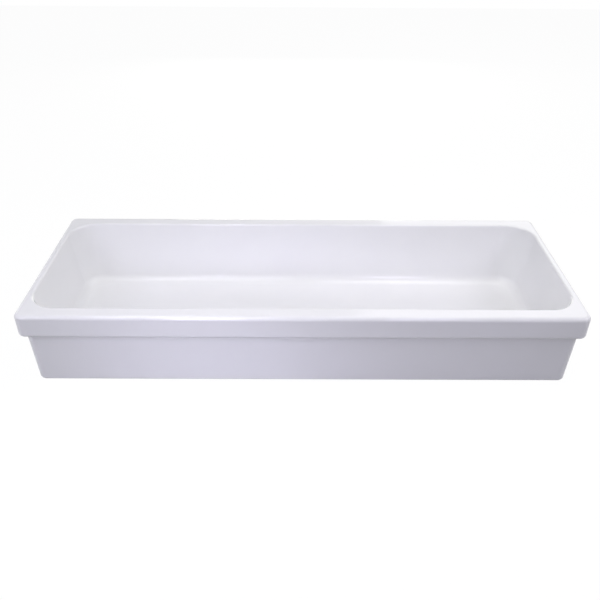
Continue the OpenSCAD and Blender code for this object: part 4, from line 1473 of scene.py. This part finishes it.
class TROUGH_OT_stage(bpy.types.Operator):
    """Makes the floor with its cut-out, the room's light, the softboxes and the camera"""

    bl_idname = "trough_sink.stage"
    bl_label = "Stage"

    def execute(self, context):
        stage = context.scene.trough_sink.stage
        self.make_floor(stage)
        self.make_room(context.scene, stage)
        self.make_softboxes()
        self.make_camera(context.scene, stage)
        context.scene.view_settings.view_transform = "Standard"
        return {"FINISHED"}

    def make_floor(self, stage):
        """A wide floor with a cut-out under the trough, for the waste and for light from below."""
        x, y, z = stage.cutout_x, stage.cutout_y, -stage.floor_gap
        wider = stage.floor_r / hypot(x, y)
        inner = [(x, y, z), (-x, y, z), (-x, -y, z), (x, -y, z)]
        outer = [(wider * corner[0], wider * corner[1], z) for corner in inner]
        mesh = bpy.data.meshes.new("floor")
        faces = [(i, i + 4, (i + 1) % 4 + 4, (i + 1) % 4) for i in range(4)]
        mesh.from_pydata(inner + outer, [], faces)
        mesh.materials.append(painted_board(stage))
        new_object("floor", mesh)

    def make_room(self, scene, stage):
        """White to the eye and in reflections, and soft light of a lower level on surfaces."""
        world = bpy.data.worlds.new("room")
        world.use_nodes = True
        scene.world = world
        tree = world.node_tree
        tree.nodes.remove(tree.nodes["Background"])
        seen = add(tree, "ShaderNodeBackground", (1, 1, 1, 1), 1.0)
        cast = add(tree, "ShaderNodeBackground", stage.room, stage.room_level)
        end = tree.nodes["World Output"].inputs["Surface"]
        add(tree, "ShaderNodeMixShader", looked_at(tree), cast, seen, into=end)

    def make_softboxes(self):
        for name, place, aim, size, spread_angle, power, colour in SOFTBOXES:
            light = bpy.data.lights.new(name, "AREA")
            light.shape = "RECTANGLE"
            light.size, light.size_y = size
            light.spread = radians(spread_angle)
            light.energy = power
            light.color = linear(colour)[:3]
            lamp = new_object(name, light)
            lamp.location = place
            lamp.rotation_euler = (Vector(aim) - Vector(place)).to_track_quat("-Z", "Y").to_euler()

    def make_camera(self, scene, stage):
        data = bpy.data.cameras.new("camera")
        data.lens = stage.lens
        scene.camera = new_object("camera", data)
        place = Matrix.Translation((-stage.camera_x, -stage.camera_y, stage.camera_z))
        turns = (-stage.yaw, "Z"), (pi / 2 - stage.pitch, "X"), (stage.roll, "Z")
        for angle, axis in turns:
            place = place @ Matrix.Rotation(angle, 4, axis)
        scene.camera.matrix_world = place


# ---- Add-on ----


OPERATORS = (
    TROUGH_OT_basin,
    TROUGH_OT_waste_body,
    TROUGH_OT_rubber_rings,
    TROUGH_OT_clamp,
    TROUGH_OT_tail,
    TROUGH_OT_cartridge,
    TROUGH_OT_return_spring,
    TROUGH_OT_plug,
    TROUGH_OT_stage,
)


class TROUGH_PT_panel(bpy.types.Panel):
    """Lists the pieces of the trough sink and their sizes"""

    bl_idname = "TROUGH_PT_panel"
    bl_label = "Trough sink"
    bl_space_type = "VIEW_3D"
    bl_region_type = "UI"
    bl_category = "Trough sink"

    def draw(self, context):
        for operator in OPERATORS:
            self.layout.operator(operator.bl_idname)
        for group in TroughSink.__annotations__:
            sizes = getattr(context.scene.trough_sink, group)
            box = self.layout.box()
            box.label(text=group.title())
            for key in sizes.__annotations__:
                box.prop(sizes, key)


CLASSES = (
    BasinSizes,
    WasteSizes,
    TailSizes,
    CartridgeSizes,
    PlugSizes,
    Finishes,
    StageSettings,
    TroughSink,
    *OPERATORS,
    TROUGH_PT_panel,
)


def register():
    for cls in CLASSES:
        bpy.utils.register_class(cls)
    bpy.types.Scene.trough_sink = bpy.props.PointerProperty(type=TroughSink)


def unregister():
    del bpy.types.Scene.trough_sink
    for cls in reversed(CLASSES):
        bpy.utils.unregister_class(cls)


def main():
    register()
    bpy.ops.trough_sink.basin()
    bpy.ops.trough_sink.waste_body()
    bpy.ops.trough_sink.rubber_rings()
    bpy.ops.trough_sink.clamp()
    bpy.ops.trough_sink.tail()
    bpy.ops.trough_sink.cartridge()
    bpy.ops.trough_sink.return_spring()
    bpy.ops.trough_sink.plug()
    bpy.ops.trough_sink.stage()


if __name__ == "__main__":
    main()
